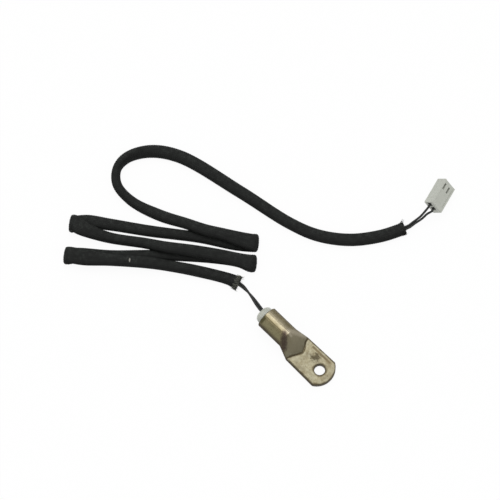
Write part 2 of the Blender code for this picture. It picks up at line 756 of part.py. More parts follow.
def make_housing(parts, cutters, material, frame):
    """The moulded housing: ribs beside a sunk face, two windows and two contact cavities."""
    size = (HOUSING_LENGTH, HOUSING_WIDTH, HOUSING_THICKNESS)
    housing = box("connector_housing", size, (0, 0, 0), parts, material, frame)
    bevel = housing.modifiers.new("edges", "BEVEL")
    bevel.width = HOUSING_EDGE
    bevel.segments = 2
    spare = HOUSING_EDGE + RIB_HEIGHT
    front = HOUSING_LENGTH / 2
    top = HOUSING_THICKNESS / 2

    sunk_length = HOUSING_LENGTH - RIB_SETBACK + spare
    sunk_size = (sunk_length, HOUSING_WIDTH - 2 * RIB_WIDTH, 2 * RIB_HEIGHT)
    sunk_center = (front + spare - sunk_length / 2, 0, top)
    cut(housing, box("sunk_face_cutter", sunk_size, sunk_center, cutters, parent=frame))

    cavity_length = HOUSING_LENGTH - FRONT_WALL + spare
    cavity_size = (cavity_length, CAVITY_SIZE, CAVITY_SIZE)
    cavity_x = front - FRONT_WALL - cavity_length / 2
    entry_size = (2 * FRONT_WALL + spare, PIN_ENTRY_SIZE, PIN_ENTRY_SIZE)
    window_size = (WINDOW_LENGTH, WINDOW_WIDTH, top + CAVITY_DROP)
    for number in (1, 2):
        side = contact_side(number)
        cavity_center = (cavity_x, side, -CAVITY_DROP)
        cavity = box(f"cavity_cutter_{number}", cavity_size, cavity_center, cutters, parent=frame)
        entry_center = (front, side, -CAVITY_DROP)
        entry = box(f"pin_entry_cutter_{number}", entry_size, entry_center, cutters, parent=frame)
        window_center = (front - WINDOW_FROM_FRONT, side, (top - CAVITY_DROP) / 2)
        window = box(f"window_cutter_{number}", window_size, window_center, cutters, parent=frame)
        cut(housing, cavity, entry, window)


def main():
    clear_scene()
    parts = make_collection("heat_sensor")
    cutters = make_collection("cutters")
    materials = {
        "terminal": make_material("tinned_copper", (0.30, 0.26, 0.16), 0.38, 1.0),
        "potting": make_material("grey_potting", (0.50, 0.51, 0.45), 0.45),
        "bead": make_material("bead_epoxy", (0.03, 0.03, 0.03), 0.4),
        "lead": make_material("tinned_lead", (0.55, 0.54, 0.50), 0.3, 1.0),
        "joint_sleeve": make_material("shrink_sleeve", (0.02, 0.02, 0.02), 0.5),
        "wire": make_material("wire_insulation", (0.012, 0.012, 0.013), 0.45),
        "braid": make_material("black_braid", (0.018, 0.020, 0.019), 0.8),
        "housing": make_material("off_white_plastic", (0.46, 0.47, 0.41), 0.4),
        "contact": make_material("tinned_contact", (0.55, 0.54, 0.50), 0.35, 1.0),
    }
    layout = add_empty("lead_layout", (0, 0, 0), (0, 0, LAYOUT_TURN))
    frame = add_empty("connector_frame", (0, 0, 0), (0, 0, 0), layout)
    frame.matrix_local = housing_matrix()

    make_terminal(parts, cutters, materials["terminal"])
    make_potting(parts, cutters, materials)
    for number in (1, 2):
        tube(f"wire_{number}", wire_route(number), WIRE_DIAMETER, parts, materials["wire"], layout)
    make_braided_sleeve(parts, materials["braid"], layout)
    make_housing(parts, cutters, materials["housing"], frame)
    for number in (1, 2):
        make_contact(number, parts, materials["contact"], frame)


main()
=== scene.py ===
"""Looks of the heat sensor: a potted ring terminal on a sleeved two-wire lead.

Metres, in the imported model's frame: the terminal lies along X, flat on Z = 0. The lead and its
connector are laid out in a second frame, turned about Z, whose X runs along the folded legs.
"""

import math
import random

import bmesh
import bpy
from mathutils import Matrix, Vector


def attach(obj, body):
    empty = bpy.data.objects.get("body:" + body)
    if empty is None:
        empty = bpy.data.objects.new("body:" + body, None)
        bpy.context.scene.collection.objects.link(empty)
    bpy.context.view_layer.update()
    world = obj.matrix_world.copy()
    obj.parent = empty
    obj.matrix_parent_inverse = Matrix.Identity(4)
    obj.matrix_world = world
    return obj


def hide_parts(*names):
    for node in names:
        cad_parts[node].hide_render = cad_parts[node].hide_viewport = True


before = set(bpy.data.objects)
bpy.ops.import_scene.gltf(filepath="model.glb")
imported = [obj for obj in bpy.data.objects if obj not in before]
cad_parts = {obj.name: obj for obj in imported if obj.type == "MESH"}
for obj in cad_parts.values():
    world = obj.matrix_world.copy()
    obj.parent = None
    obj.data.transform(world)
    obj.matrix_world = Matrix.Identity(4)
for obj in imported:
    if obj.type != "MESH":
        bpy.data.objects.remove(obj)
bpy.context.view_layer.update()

# View
LAYOUT_TURN = math.radians(45.2)
VIEW_ELEVATION = math.radians(72.0)
VIEW_TARGET = (-0.0176, 0.0401, 0.0)
VIEW_DISTANCE = 2.6
VIEW_WIDTH = 0.195
SENSOR_WIDTH = 36.0
CLIP_NEAR = 0.01
CLIP_FAR = 100.0

# Floor and light
FLOOR_REACH = 30.0
FLOOR_WHITENESS = 0.94
FLOOR_COLOR = (0.93, 0.93, 0.93, 1.0)
WHITE = (1.0, 1.0, 1.0, 1.0)
WORLD_STRENGTH = 0.75
LAMP_STRENGTH = 0.9
LAMP_SPREAD = math.radians(40.0)
LAMP_DIRECTION = Vector((0.0, 0.309, 0.951))

# Terminal and potting
BARREL_DIAMETER = 0.0091
LUG_LENGTH = 0.0350
POTTING_DOME = 0.0030
MOUTH_X = (POTTING_DOME - LUG_LENGTH) / 2
BARREL_RADIUS = BARREL_DIAMETER / 2
JOINT_SLEEVE_DEPTH = 0.0030
JOINT_SPACING = 0.0022

# Wires and braided sleeve
WIRE_DIAMETER = 0.0009
# The wires lie a hair less than a diameter apart, so that no light shows between them.
WIRE_SPACING = 0.00088
WIRE_OVERLAP = 0.0016
WIRE_ROUNDNESS = 4
PAIR_TWIST = 180
BRAID_SQUARENESS = 2.3
FOLD_LOW = 0.0011
FOLD_HIGH = 0.0035
FOLD_THICKNESS = 0.0017
FOLD_STEPS = 4
YARNS_EACH_WAY = 16
CROSSING_STEP = 0.00040
YARN_WIDTH = 0.00052
YARN_LIFT = 0.00008
YARN_ARCH = 0.00008
CORE_DEPTH = 0.00018
FLOOR_CLEARANCE = 0.00003
SURFACE_COLUMNS = 64
OUTLINE_FINENESS = 4
LAST_RING_MARGIN = 0.001
CORE_COLUMNS = 16
CORE_STEP = 3
WIRE_STEP = 0.0050
FREE_WIRE_STEP = 0.0010

# The braid repeats after four crossings. A yarn of either way lies over at two of them.
CROSSINGS_IN_REPEAT = 4
OVER_ONE_WAY = (0, 1)
OVER_OTHER_WAY = (2, 3)

# Connector housing
HOUSING_LENGTH = 0.0120
HOUSING_WIDTH = 0.0067
HOUSING_THICKNESS = 0.0045
CONTACT_PITCH = 0.0025
CAVITY_SHIFT = 0.0006
CAVITY_DROP = 0.0001
FRONT_WALL = 0.0010
CONTACT_LENGTH = 0.0082
CONTACT_SETBACK = 0.0002
WIRE_IN_CONTACT = 0.0019
HOUSING_PLACE = (0.0564, 0.0607)
HOUSING_YAW = math.radians(62.1)
HOUSING_PITCH = math.radians(10.9)
HOUSING_ROLL = math.radians(46.0)
FLOOR_GAP = 0.0001

# A run steeper than this, as the sine of its angle from upright, keeps its sideways direction.
LEVEL_RUN = 0.9

# The route of the braided sleeve in the layout frame, from the terminal to the connector.
# Each row is x, y and height of the sleeve's centre, its width and thickness there, and how
# many degrees it is rolled onto its edge. A fold is its outermost x, the y of its upper and
# lower run, and its width.
LEG_FROM_TERMINAL = [
    (-0.0219, 0.0258, 0.0015, 0.0058, 0.0026, 0),
    (-0.0254, 0.0275, 0.0017, 0.0048, 0.0030, 0),
    (-0.0391, 0.0311, 0.0018, 0.0045, 0.0034, 0),
    (-0.0508, 0.0331, 0.0025, 0.0044, 0.0031, 0),
    (-0.0585, 0.0339, 0.0037, 0.0048, 0.0026, 0),
    (-0.0722, 0.0347, 0.0042, 0.0048, 0.0026, 0),
    (-0.0820, 0.0358, 0.0039, 0.0065, 0.0023, 0),
]
FOLD_1 = (-0.0902, 0.0370, 0.0373, 0.0068)
LEG_2 = [
    (-0.0835, 0.0377, 0.00115, 0.0058, 0.0021, 0),
    (-0.0722, 0.0372, 0.0014, 0.0047, 0.0025, 0),
    (-0.0527, 0.0375, 0.0014, 0.0043, 0.0025, 0),
    (-0.0312, 0.0366, 0.0014, 0.0050, 0.0024, 0),
    (-0.0215, 0.0353, 0.0012, 0.0056, 0.0021, 0),
]
FOLD_2 = (-0.0149, 0.0337, 0.0339, 0.0067)
LEG_3 = [
    (-0.0210, 0.0346, 0.0036, 0.0058, 0.0021, 0),
    (-0.0293, 0.0365, 0.0041, 0.0051, 0.0025, 0),
    (-0.0400, 0.0384, 0.0043, 0.0048, 0.0026, 0),
    (-0.0508, 0.0401, 0.0039, 0.0045, 0.0028, 0),
    (-0.0585, 0.0421, 0.0024, 0.0042, 0.0031, 0),
    (-0.0722, 0.0445, 0.0018, 0.0043, 0.0032, 0),
    (-0.0802, 0.0467, 0.0033, 0.0055, 0.0025, 0),
    (-0.0838, 0.0483, 0.0036, 0.0063, 0.0021, 0),
]
FOLD_3 = (-0.0882, 0.0501, 0.0504, 0.0069)
LEG_4 = [
    (-0.0810, 0.0513, 0.0012, 0.0056, 0.0022, 0),
    (-0.0722, 0.0500, 0.0016, 0.0048, 0.0029, 0),
    (-0.0566, 0.0473, 0.0017, 0.0045, 0.0032, 0),
    (-0.0371, 0.0448, 0.0014, 0.0045, 0.0025, 0),
    (-0.0230, 0.0426, 0.00125, 0.0062, 0.0021, 0),
]
FOLD_4 = (-0.0141, 0.0421, 0.0423, 0.0069)
LEG_TO_CONNECTOR = [
    (-0.0200, 0.0430, 0.0036, 0.0062, 0.0021, 0),
    (-0.0285, 0.0454, 0.0040, 0.0048, 0.0025, 0),
    (-0.0350, 0.0470, 0.0041, 0.0046, 0.0026, 0),
    (-0.0425, 0.0500, 0.0029, 0.0044, 0.0029, 0),
    (-0.0527, 0.0537, 0.0018, 0.0046, 0.0032, 0),
    (-0.0638, 0.0595, 0.0020, 0.0042, 0.0033, 35),
    (-0.0695, 0.0662, 0.0022, 0.0042, 0.0035, 70),
    (-0.0696, 0.0728, 0.0022, 0.0042, 0.0033, 75),
    (-0.0656, 0.0775, 0.0021, 0.0045, 0.0036, 50),
    (-0.0566, 0.0801, 0.0018, 0.0050, 0.0031, 15),
    (-0.0449, 0.0779, 0.0017, 0.0052, 0.0029, 0),
    (-0.0214, 0.0634, 0.0017, 0.0049, 0.0030, 0),
    (-0.0019, 0.0504, 0.0017, 0.0047, 0.0030, 0),
    (0.0090, 0.0455, 0.0017, 0.0049, 0.0030, 0),
    (0.0214, 0.0437, 0.0017, 0.0050, 0.0029, 0),
    (0.0331, 0.0452, 0.0017, 0.0050, 0.0029, 0),
    (0.0428, 0.0484, 0.0017, 0.0050, 0.0030, 0),
]

# The bare wires: from the potting to the sleeve, and from the sleeve to the connector.
POTTING_EXIT_SIDE = 0.0006
POTTING_EXIT_RISE = 0.00015
PAIR_TO_SLEEVE = [
    (-0.0148, 0.0165, 0.0043),
    (-0.0164, 0.0192, 0.0035),
    (-0.0186, 0.0225, 0.0023),
    (-0.0204, 0.0246, 0.0017),
]
PAIR_FROM_SLEEVE = [
    (0.0447, 0.0493, 0.0019),
    (0.0465, 0.0506, 0.0024),
]
SPLIT_TO_CONNECTOR = {
    1: [(0.0488, 0.0524, 0.0043), (0.0508, 0.0541, 0.0063)],
    2: [(0.0495, 0.0518, 0.0036), (0.0516, 0.0534, 0.0049)],
}
ENTRY_RUN = 0.0014

# Loose filaments at the sleeve's cut ends
FILAMENTS = 110
FILAMENT_DIAMETER = 0.00012
FILAMENT_LENGTHS = (0.0010, 0.0022)
FRAY_SPREAD_TERMINAL = 0.25
FRAY_SPREAD_CONNECTOR = 0.35
FRAY_LEAN_TERMINAL = Vector((0.0, 0.0, 0.0))
FRAY_LEAN_CONNECTOR = Vector((-0.45, 0.42, 0.15))
FRAY_BACK_TERMINAL = 0.0024
FRAY_BACK_CONNECTOR = 0.0020
FRAY_SEED_TERMINAL = 3
FRAY_SEED_CONNECTOR = 5
FRAY_RUN_ROWS = 8
FILAMENT_STEPS = 4
FILAMENT_SIDES = 3
FILAMENT_TAPER = 0.6
# The range that each filament's own start, splay, sideways swing and lean are drawn from
FILAMENT_START = (0.4, 1.0)
FILAMENT_SPLAY = (-0.1, 1.0)
FILAMENT_SWING = (-0.5, 0.5)
FILAMENT_LEAN = (0.3, 1.0)

# Where the marks on the terminal lie, in its own frame
WEDGE_START = -0.0045
WEDGE_END = 0.0015
WEDGE_PLACE = (-0.0012, 0.0010, 0.0056)
WEDGE_SIZE = (0.0052, 0.0066, 0.0052)
MOUTH_PLACE = (-0.0155, -0.0024, 0.0080)
MOUTH_SIZE = (0.0012, 0.0022, 0.0020)
FLANK_START = -0.0008
FLANK_END = -0.0034
FLANK_SHARE = 0.75
TOP_BAND_SIDE = 0.0010
TOP_BAND_WIDTH = 0.0020
CHEVRON_BASE = 0.0009
CHEVRON_PEAK = 0.0029
CHEVRON_HALF_WIDTH = 0.0062
CHEVRON_LINE = 0.00030
CHEVRON_WANDER = 0.0007
GROOVE_SIDE = 0.0047
GROOVE_START = 0.0042
GROOVE_END = 0.0150
GROOVE_FADE = 0.001
GROOVE_WIDTH = 0.00030
PALM_HALF_WIDTH = 0.0063
TIP_ARC_CENTER = (0.0116, 0.0, 0.0026)
TIP_ARC_RADIUS = 0.0074
HOLE_CENTER = (0.0133, 0.0, 0.0026)
HOLE_RADIUS = 0.00215
RIM_BAND = 0.0009
RIM_START = 0.0006
ARC_START = 0.001

# Streaks seen from above on the terminal. Each kind has how ragged its edges are, then the
# start, end and half width of each streak.
STREAKS = {
    "stains": (2.4, [
        ((0.0081, 0.0016), (0.0093, 0.0027), 0.0013),
        ((0.0080, 0.0036), (0.0096, 0.0032), 0.0008),
    ]),
    "faint_stains": (2.2, [
        ((0.0050, -0.0046), (0.0100, -0.0052), 0.0012),
        ((0.0165, -0.0020), (0.0178, 0.0015), 0.0012),
        ((0.0120, 0.0045), (0.0150, 0.0040), 0.0010),
        ((0.0052, 0.0018), (0.0062, -0.0008), 0.0010),
        ((0.0070, 0.0020), (0.0100, 0.0026), 0.0020),
    ]),
    # Painted shade in the folds of the pressed neck
    "shades": (1.5, [
        ((-0.0054, -0.0006), (-0.0020, -0.0042), 0.0015),
        ((-0.0048, -0.0024), (-0.0020, -0.0050), 0.0010),
    ]),
    # Painted highlights along the ridges of the pressed neck
    "ridges": (0.8, [
        ((-0.0048, 0.0012), (-0.0004, 0.0054), 0.0013),
        ((-0.0050, 0.0008), (-0.0030, 0.0006), 0.0006),
    ]),
}

# Colours of the terminal and of the marks on it
PALM_COLORS = ((0.118, 0.100, 0.058), (0.262, 0.246, 0.178))
BARREL_COLORS = ((0.135, 0.112, 0.056), (0.275, 0.236, 0.140))
# Painted reflection: the paler flank on one side of the barrel
FLANK_REFLECTION_COLOR = (0.300, 0.276, 0.160)
# Painted highlight along the top of the barrel
HIGHLIGHT_BAND_COLOR = (0.400, 0.355, 0.250)
# Painted reflection on the pressed neck's wedge
WEDGE_REFLECTION_COLOR = (0.232, 0.208, 0.142)
# Painted highlights on the neck's ridges
RIDGE_HIGHLIGHT_COLOR = (0.520, 0.470, 0.370)
# Brown oxide of the cut edges, also laid as painted shade on every side that turns from up
OXIDE_AND_SHADE_COLOR = (0.060, 0.044, 0.025)
# Painted shade in the neck's folds
SHADE_COLOR = (0.060, 0.042, 0.036)
OLIVE_COLOR = (0.075, 0.066, 0.028)
STAIN_COLOR = (0.086, 0.067, 0.038)

# How strongly each mark covers the metal under it, and its colour. The top band is a painted
# highlight: it stands in for the light that the photograph shows along the barrel. The flank's
# colour and the wedge are painted reflections, the shades are painted shade and the ridges are
# painted highlights, and they follow the photograph too. The edges are oxide with painted shade.
MARKS = {
    "top_band": (0.70, HIGHLIGHT_BAND_COLOR),
    "specks": (0.45, STAIN_COLOR),
    "wedge": (0.70, WEDGE_REFLECTION_COLOR),
    "shades": (0.90, SHADE_COLOR),
    "ridges": (0.45, RIDGE_HIGHLIGHT_COLOR),
    "mouth": (0.80, OLIVE_COLOR),
    "chevron": (1.00, STAIN_COLOR),
    "groove": (0.90, STAIN_COLOR),
    "stains": (0.60, STAIN_COLOR),
    "faint_stains": (0.35, STAIN_COLOR),
    "rim": (0.75, STAIN_COLOR),
    "edges": (0.92, OXIDE_AND_SHADE_COLOR),
}

# The dark and the light colour of the potting and the housing
POTTING_COLORS = ((0.390, 0.405, 0.350), (0.500, 0.512, 0.452))
PLASTIC_COLORS = ((0.440, 0.454, 0.402), (0.485, 0.499, 0.447))

# The small parts and the wires: name, dark and light colour, roughness and share of metal
SIMPLE_LOOKS = {
    "thermistor_bead": ("bead_epoxy", (0.02, 0.02, 0.02), (0.05, 0.05, 0.045), 0.35, 0.0),
    "thermistor_lead": ("tinned_lead", (0.45, 0.44, 0.40), (0.6, 0.59, 0.55), 0.3, 1.0),
    "joint_sleeve": ("shrink_sleeve", (0.014, 0.014, 0.015), (0.03, 0.03, 0.03), 0.5, 0.0),
    "contact": ("tinned_contact", (0.66, 0.65, 0.61), (0.80, 0.79, 0.75), 0.5, 0.6),
    "wire": ("wire_insulation", (0.006, 0.007, 0.006), (0.014, 0.016, 0.013), 0.6, 0.0),
}

# The braid and its frayed yarns: name, dark and light colour, and roughness
YARN_LOOKS = {
    "braid": ("black_braid", (0.0034, 0.0038, 0.0034), (0.041, 0.0460, 0.0415), 0.75),
    "fray_grey": ("frayed_yarn_grey", (0.080, 0.085, 0.068), (0.620, 0.620, 0.520), 0.8),
    "fray_dark": ("frayed_yarn_dark", (0.010, 0.010, 0.009), (0.100, 0.104, 0.092), 0.8),
}

# The way that the braid's paler side faces in the layout frame, the range of facing over which
# the braid pales, and the share of the light colour that the other sides keep. This stands in
# for light as well.
PAINTED_LIGHT_SIDE = Vector((-0.2, 0.75, 0.63))
PAINTED_LIGHT_RANGE = (0.15, 1.0)
PAINTED_LIGHT_LEAST = 0.12

# A fleck of lint on the first leg of the sleeve, in the layout frame
FLECK_PLACE = (-0.0644, 0.0343, 0.0052)
FLECK_SIZE = (0.00035, 0.0009, 0.0012)
FLECK_COLOR = (0.34, 0.33, 0.29)
FLECK_SHARE = 0.8

TO_ROW = Matrix.Rotation(LAYOUT_TURN, 4, "Z")


def add_piece(name, data, material=None):
    """A new object of the scene, with its material if it has one."""
    piece = bpy.data.objects.new(name, data)
    bpy.context.scene.collection.objects.link(piece)
    if material is not None:
        data.materials.append(material)
    return piece


def smooth_piece(name, shape, material):
    """A finished mesh as a smoothly shaded object of the scene."""
    mesh = bpy.data.meshes.new(name)
    shape.to_mesh(mesh)
    shape.free()
    mesh.shade_smooth()
    return add_piece(name, mesh, material)


def smooth_curve(points, step):
    """Points read from a smooth curve through the given ones, about a step apart."""
    knots = [Vector(point) for point in points]
    ends = [2 * knots[0] - knots[1], 2 * knots[-1] - knots[-2]]
    padded = [ends[0], *knots, ends[1]]
    result = []
    for i in range(1, len(padded) - 2):
        before, start, end, after = padded[i - 1:i + 3]
        gaps = [max((b.xyz - a.xyz).length, 1e-9) ** 0.5
                for a, b in ((before, start), (start, end), (end, after))]
        slope_in = ((start - before) / gaps[0] - (end - before) / (gaps[0] + gaps[1])
                    + (end - start) / gaps[1]) * gaps[1]
        slope_out = ((end - start) / gaps[1] - (after - start) / (gaps[1] + gaps[2])
                     + (after - end) / gaps[2]) * gaps[1]
        pieces = max(1, round((end.xyz - start.xyz).length / step))
        for piece in range(pieces):
            t = piece / pieces
            result.append(
                (2 * t**3 - 3 * t**2 + 1) * start + (t**3 - 2 * t**2 + t) * slope_in
                + (3 * t**2 - 2 * t**3) * end + (t**3 - t**2) * slope_out)
    result.append(knots[-1])
    return result


def fold(place, rising, left):
    """The sleeve's turn back over itself, as a half circle in a vertical plane."""
    edge, y_high, y_low, width = place
    radius = (FOLD_HIGH - FOLD_LOW) / 2
    outward = -1.0 if left else 1.0
    center_x = edge - outward * (radius + FOLD_THICKNESS / 2)
    middle = (FOLD_HIGH + FOLD_LOW) / 2
    rows = []
    for step in range(FOLD_STEPS + 1):
        share = step / FOLD_STEPS
        angle = math.pi * (share - 0.5)
        rows.append((
            center_x + outward * radius * math.cos(angle),
            y_low + (y_high - y_low) * share,
            middle + radius * math.sin(angle),
            width,
            FOLD_THICKNESS,
            0.0))
    return rows if rising else rows[::-1]


def sleeve_route():
    """All rows of the sleeve's route, folds included."""
    return [
        *LEG_FROM_TERMINAL,
        *fold(FOLD_1, rising=False, left=True),
        *LEG_2,
        *fold(FOLD_2, rising=True, left=False),
        *LEG_3,
        *fold(FOLD_3, rising=False, left=True),
        *LEG_4,
        *fold(FOLD_4, rising=True, left=False),
        *LEG_TO_CONNECTOR,
    ]


def side_axes(points):
    """The direction along the points and a sideways one at each, which never flips."""
    axes = []
    side = None
    for i in range(len(points)):
        before = points[max(i - 1, 0)]
        after = points[min(i + 1, len(points) - 1)]
        along = (after - before).normalized()
        level = Vector((0.0, 0.0, 1.0)).cross(along)
        if side is None:
            side = level
        carried = (side - along * side.dot(along)).normalized()
        if level.length > LEVEL_RUN:
            level *= math.copysign(1.0, level.dot(carried))
            carried = (carried + level.normalized()).normalized()
        side = carried
        axes.append((along, side))
    return axes


def rolled(along, side, degrees):
    """The sideways and upward directions of a section rolled about the run."""
    side = Matrix.Rotation(math.radians(degrees), 3, along) @ side
    return side, along.cross(side)


def evenly_spaced(rows, step):
    """The rows read again at equal distances along their line."""
    travelled = [0.0]
    for row, following in zip(rows, rows[1:]):
        travelled.append(travelled[-1] + (following.xyz - row.xyz).length)
    count = round(travelled[-1] / step)
    result = []
    i = 0
    for k in range(count + 1):
        place = travelled[-1] * k / count
        while i < len(rows) - 2 and travelled[i + 1] < place:
            i += 1
        share = (place - travelled[i]) / (travelled[i + 1] - travelled[i])
        result.append(rows[i].lerp(rows[i + 1], share))
    return result


def section_outline(width, height, count):
    """Points and outward directions around a section, evenly spaced along its outline."""
    fine = OUTLINE_FINENESS * count
    corners = []
    for i in range(fine + 1):
        angle = 2 * math.pi * i / fine
        c = math.cos(angle)
        s = math.sin(angle)
        size = (abs(c) ** BRAID_SQUARENESS + abs(s) ** BRAID_SQUARENESS) ** (-1 / BRAID_SQUARENESS)
        corners.append((width / 2 * size * c, height / 2 * size * s))
    travelled = [0.0]
    for a, b in zip(corners, corners[1:]):
        travelled.append(travelled[-1] + math.hypot(b[0] - a[0], b[1] - a[1]))
    outline = []
    i = 0
    for k in range(count):
        place = travelled[-1] * k / count
        while travelled[i + 1] < place:
            i += 1
        share = (place - travelled[i]) / (travelled[i + 1] - travelled[i])
        a, b = corners[i], corners[i + 1]
        run = math.hypot(b[0] - a[0], b[1] - a[1])
        outline.append((
            a[0] + (b[0] - a[0]) * share,
            a[1] + (b[1] - a[1]) * share,
            (b[1] - a[1]) / run,
            (a[0] - b[0]) / run))
    return outline, travelled[-1]


def sleeve_surface(rows):
    """The sleeve's outer skin as rings of places and outward directions, with each ring's girth."""
    centers = [row.xyz for row in rows]
    rings = []
    for row, center, (along, side) in zip(rows, centers, side_axes(centers)):
        across, up = rolled(along, side, row[5])
        outline, girth = section_outline(row[3], row[4], SURFACE_COLUMNS)
        places = [TO_ROW @ (center + across * x + up * y) for x, y, _, _ in outline]
        outward = [TO_ROW.to_3x3() @ (across * x + up * y) for _, _, x, y in outline]
        rings.append((places, outward, girth))
    return rings


def on_surface(rings, ring, column, lift):
    """A place on the skin between its rings and columns, raised by a lift."""
    ring = min(max(ring, 0.0), len(rings) - 1 - LAST_RING_MARGIN)
    i = int(ring)
    share = ring - i
    column %= SURFACE_COLUMNS
    j = int(column)
    k = (j + 1) % SURFACE_COLUMNS
    part = column - j
    near = rings[i][0][j].lerp(rings[i][0][k], part)
    far = rings[i + 1][0][j].lerp(rings[i + 1][0][k], part)
    outward = rings[i][1][j].lerp(rings[i][1][k], part)
    place = near.lerp(far, share) + outward * lift
    place.z = max(place.z, FLOOR_CLEARANCE)
    return place


def add_yarn(shape, layer, rings, start, turn, over):
    """One yarn of the braid as an arched ribbon, with a place at every crossing."""
    columns = SURFACE_COLUMNS / (2 * YARNS_EACH_WAY)
    previous = None
    for m in range(len(rings)):
        girth = rings[m][2]
        step_around = girth / (2 * YARNS_EACH_WAY)
        run = math.hypot(step_around, CROSSING_STEP)
        ring_shift = -turn * step_around / run * YARN_WIDTH / 2 / CROSSING_STEP
        column_shift = CROSSING_STEP / run * YARN_WIDTH / 2 / girth * SURFACE_COLUMNS
        crossing = 2 * start + turn * m
        column = crossing * columns
        lift = YARN_LIFT if crossing % CROSSINGS_IN_REPEAT in over else -YARN_LIFT
        verts = []
        for way, drop in ((-1.0, YARN_ARCH), (0.0, 0.0), (1.0, YARN_ARCH)):
            place = on_surface(rings, m + way * ring_shift, column + way * column_shift, lift - drop)
            verts.append(shape.verts.new(place))
        if previous is not None:
            for a in range(2):
                face = shape.faces.new((previous[a], previous[a + 1], verts[a + 1], verts[a]))
                for loop, (v, u) in zip(face.loops, ((a, m - 1), (a + 1, m - 1), (a + 1, m), (a, m))):
                    loop[layer].uv = (u * run, v * YARN_WIDTH / 2)
        previous = verts


def make_sleeve(material):
    """The braid: every yarn over two and under two of those that cross it, on a dark core."""
    rows = evenly_spaced(smooth_curve(sleeve_route(), CROSSING_STEP), CROSSING_STEP)
    rings = sleeve_surface(rows)
    shape = bmesh.new()
    layer = shape.loops.layers.uv.new("yarn")
    for start in range(YARNS_EACH_WAY):
        add_yarn(shape, layer, rings, start, 1, OVER_ONE_WAY)
        add_yarn(shape, layer, rings, start, -1, OVER_OTHER_WAY)
    core = []
    picked = list(range(0, len(rings) - 1, CORE_STEP)) + [len(rings) - 1]
    for i in picked:
        core.append([shape.verts.new(on_surface(rings, i, j, -CORE_DEPTH))
                     for j in range(0, SURFACE_COLUMNS, SURFACE_COLUMNS // CORE_COLUMNS)])
    for ring, following in zip(core, core[1:]):
        for j in range(CORE_COLUMNS):
            k = (j + 1) % CORE_COLUMNS
            shape.faces.new((ring[j], ring[k], following[k], following[j]))
    sleeve = smooth_piece("woven_sleeve", shape, material)
    path = [TO_ROW @ row.xyz for row in rows]
    return sleeve, rings, path


def add_filament(shape, places):
    """A thin filament along its places, tapered to its free end."""
    previous = None
    for i, place in enumerate(places):
        after = places[min(i + 1, len(places) - 1)]
        before = places[max(i - 1, 0)]
        along = (after - before).normalized()
        side = along.orthogonal().normalized()
        up = along.cross(side)
        radius = FILAMENT_DIAMETER / 2 * (1.0 - FILAMENT_TAPER * i / (len(places) - 1))
        ring = []
        for k in range(FILAMENT_SIDES):
            angle = 2 * math.pi * k / FILAMENT_SIDES
            ring.append(shape.verts.new(place + (side * math.cos(angle) + up * math.sin(angle)) * radius))
        if previous is not None:
            for k in range(FILAMENT_SIDES):
                m = (k + 1) % FILAMENT_SIDES
                shape.faces.new((previous[k], previous[m], ring[m], ring[k]))
        previous = ring
    shape.faces.new(previous)


def make_frayed_end(name, ring, outward_run, back, spread, toward, seed, material):
    """The loose filaments where the braid was cut: they start back from the end and splay."""
    chance = random.Random(seed)
    places, outward, _ = ring
    shape = bmesh.new()
    for _ in range(FILAMENTS):
        column = chance.randrange(SURFACE_COLUMNS)
        start = places[column] - outward_run * chance.uniform(*FILAMENT_START) * back
        start += outward[column] * FILAMENT_DIAMETER
        length = chance.uniform(*FILAMENT_LENGTHS)
        lean = outward[column] * chance.uniform(*FILAMENT_SPLAY) * spread
        lean += outward_run.cross(outward[column]) * chance.uniform(*FILAMENT_SWING) * spread
        lean += toward * chance.uniform(*FILAMENT_LEAN)
        run = []
        for i in range(FILAMENT_STEPS + 1):
            share = i / FILAMENT_STEPS
            place = start + (outward_run + lean * share) * length * share
            place.z = max(place.z, FILAMENT_DIAMETER)
            run.append(place)
        add_filament(shape, run)
    bmesh.ops.recalc_face_normals(shape, faces=shape.faces)
    fray = smooth_piece(name, shape, material)
    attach(fray, "root")
    return fray


def joint_side(number):
    """How far a wire's joint lies to the side of the barrel's axis."""
    return JOINT_SPACING / 2 if number == 1 else -JOINT_SPACING / 2


def in_barrel(depth, side, rise=0.0):
    """A place in the terminal's frame, a depth inside the barrel's mouth and off its axis."""
    return Vector((MOUTH_X + depth, side, BARREL_RADIUS + rise))


def wire_start(number):
    """The stretch of a wire inside the terminal, in the terminal's frame."""
    side = joint_side(number)
    exit_side = POTTING_EXIT_SIDE + math.copysign(WIRE_SPACING / 2, side)
    return [
        in_barrel(JOINT_SLEEVE_DEPTH + WIRE_OVERLAP, side),
        in_barrel(JOINT_SLEEVE_DEPTH, side),
        in_barrel(0.0, exit_side, POTTING_EXIT_RISE),
        in_barrel(-POTTING_DOME, exit_side, POTTING_EXIT_RISE),
    ]


def housing_matrix():
    """The connector's own frame in the layout frame, with its lowest corner just off the floor."""
    turn = (Matrix.Rotation(HOUSING_YAW, 4, "Z") @ Matrix.Rotation(HOUSING_PITCH, 4, "Y")
            @ Matrix.Rotation(HOUSING_ROLL, 4, "X"))
    half = Vector((HOUSING_LENGTH, HOUSING_WIDTH, HOUSING_THICKNESS)) / 2
    reach = sum(abs(turn[2][i]) * half[i] for i in range(3))
    return Matrix.Translation((*HOUSING_PLACE, reach + FLOOR_GAP)) @ turn


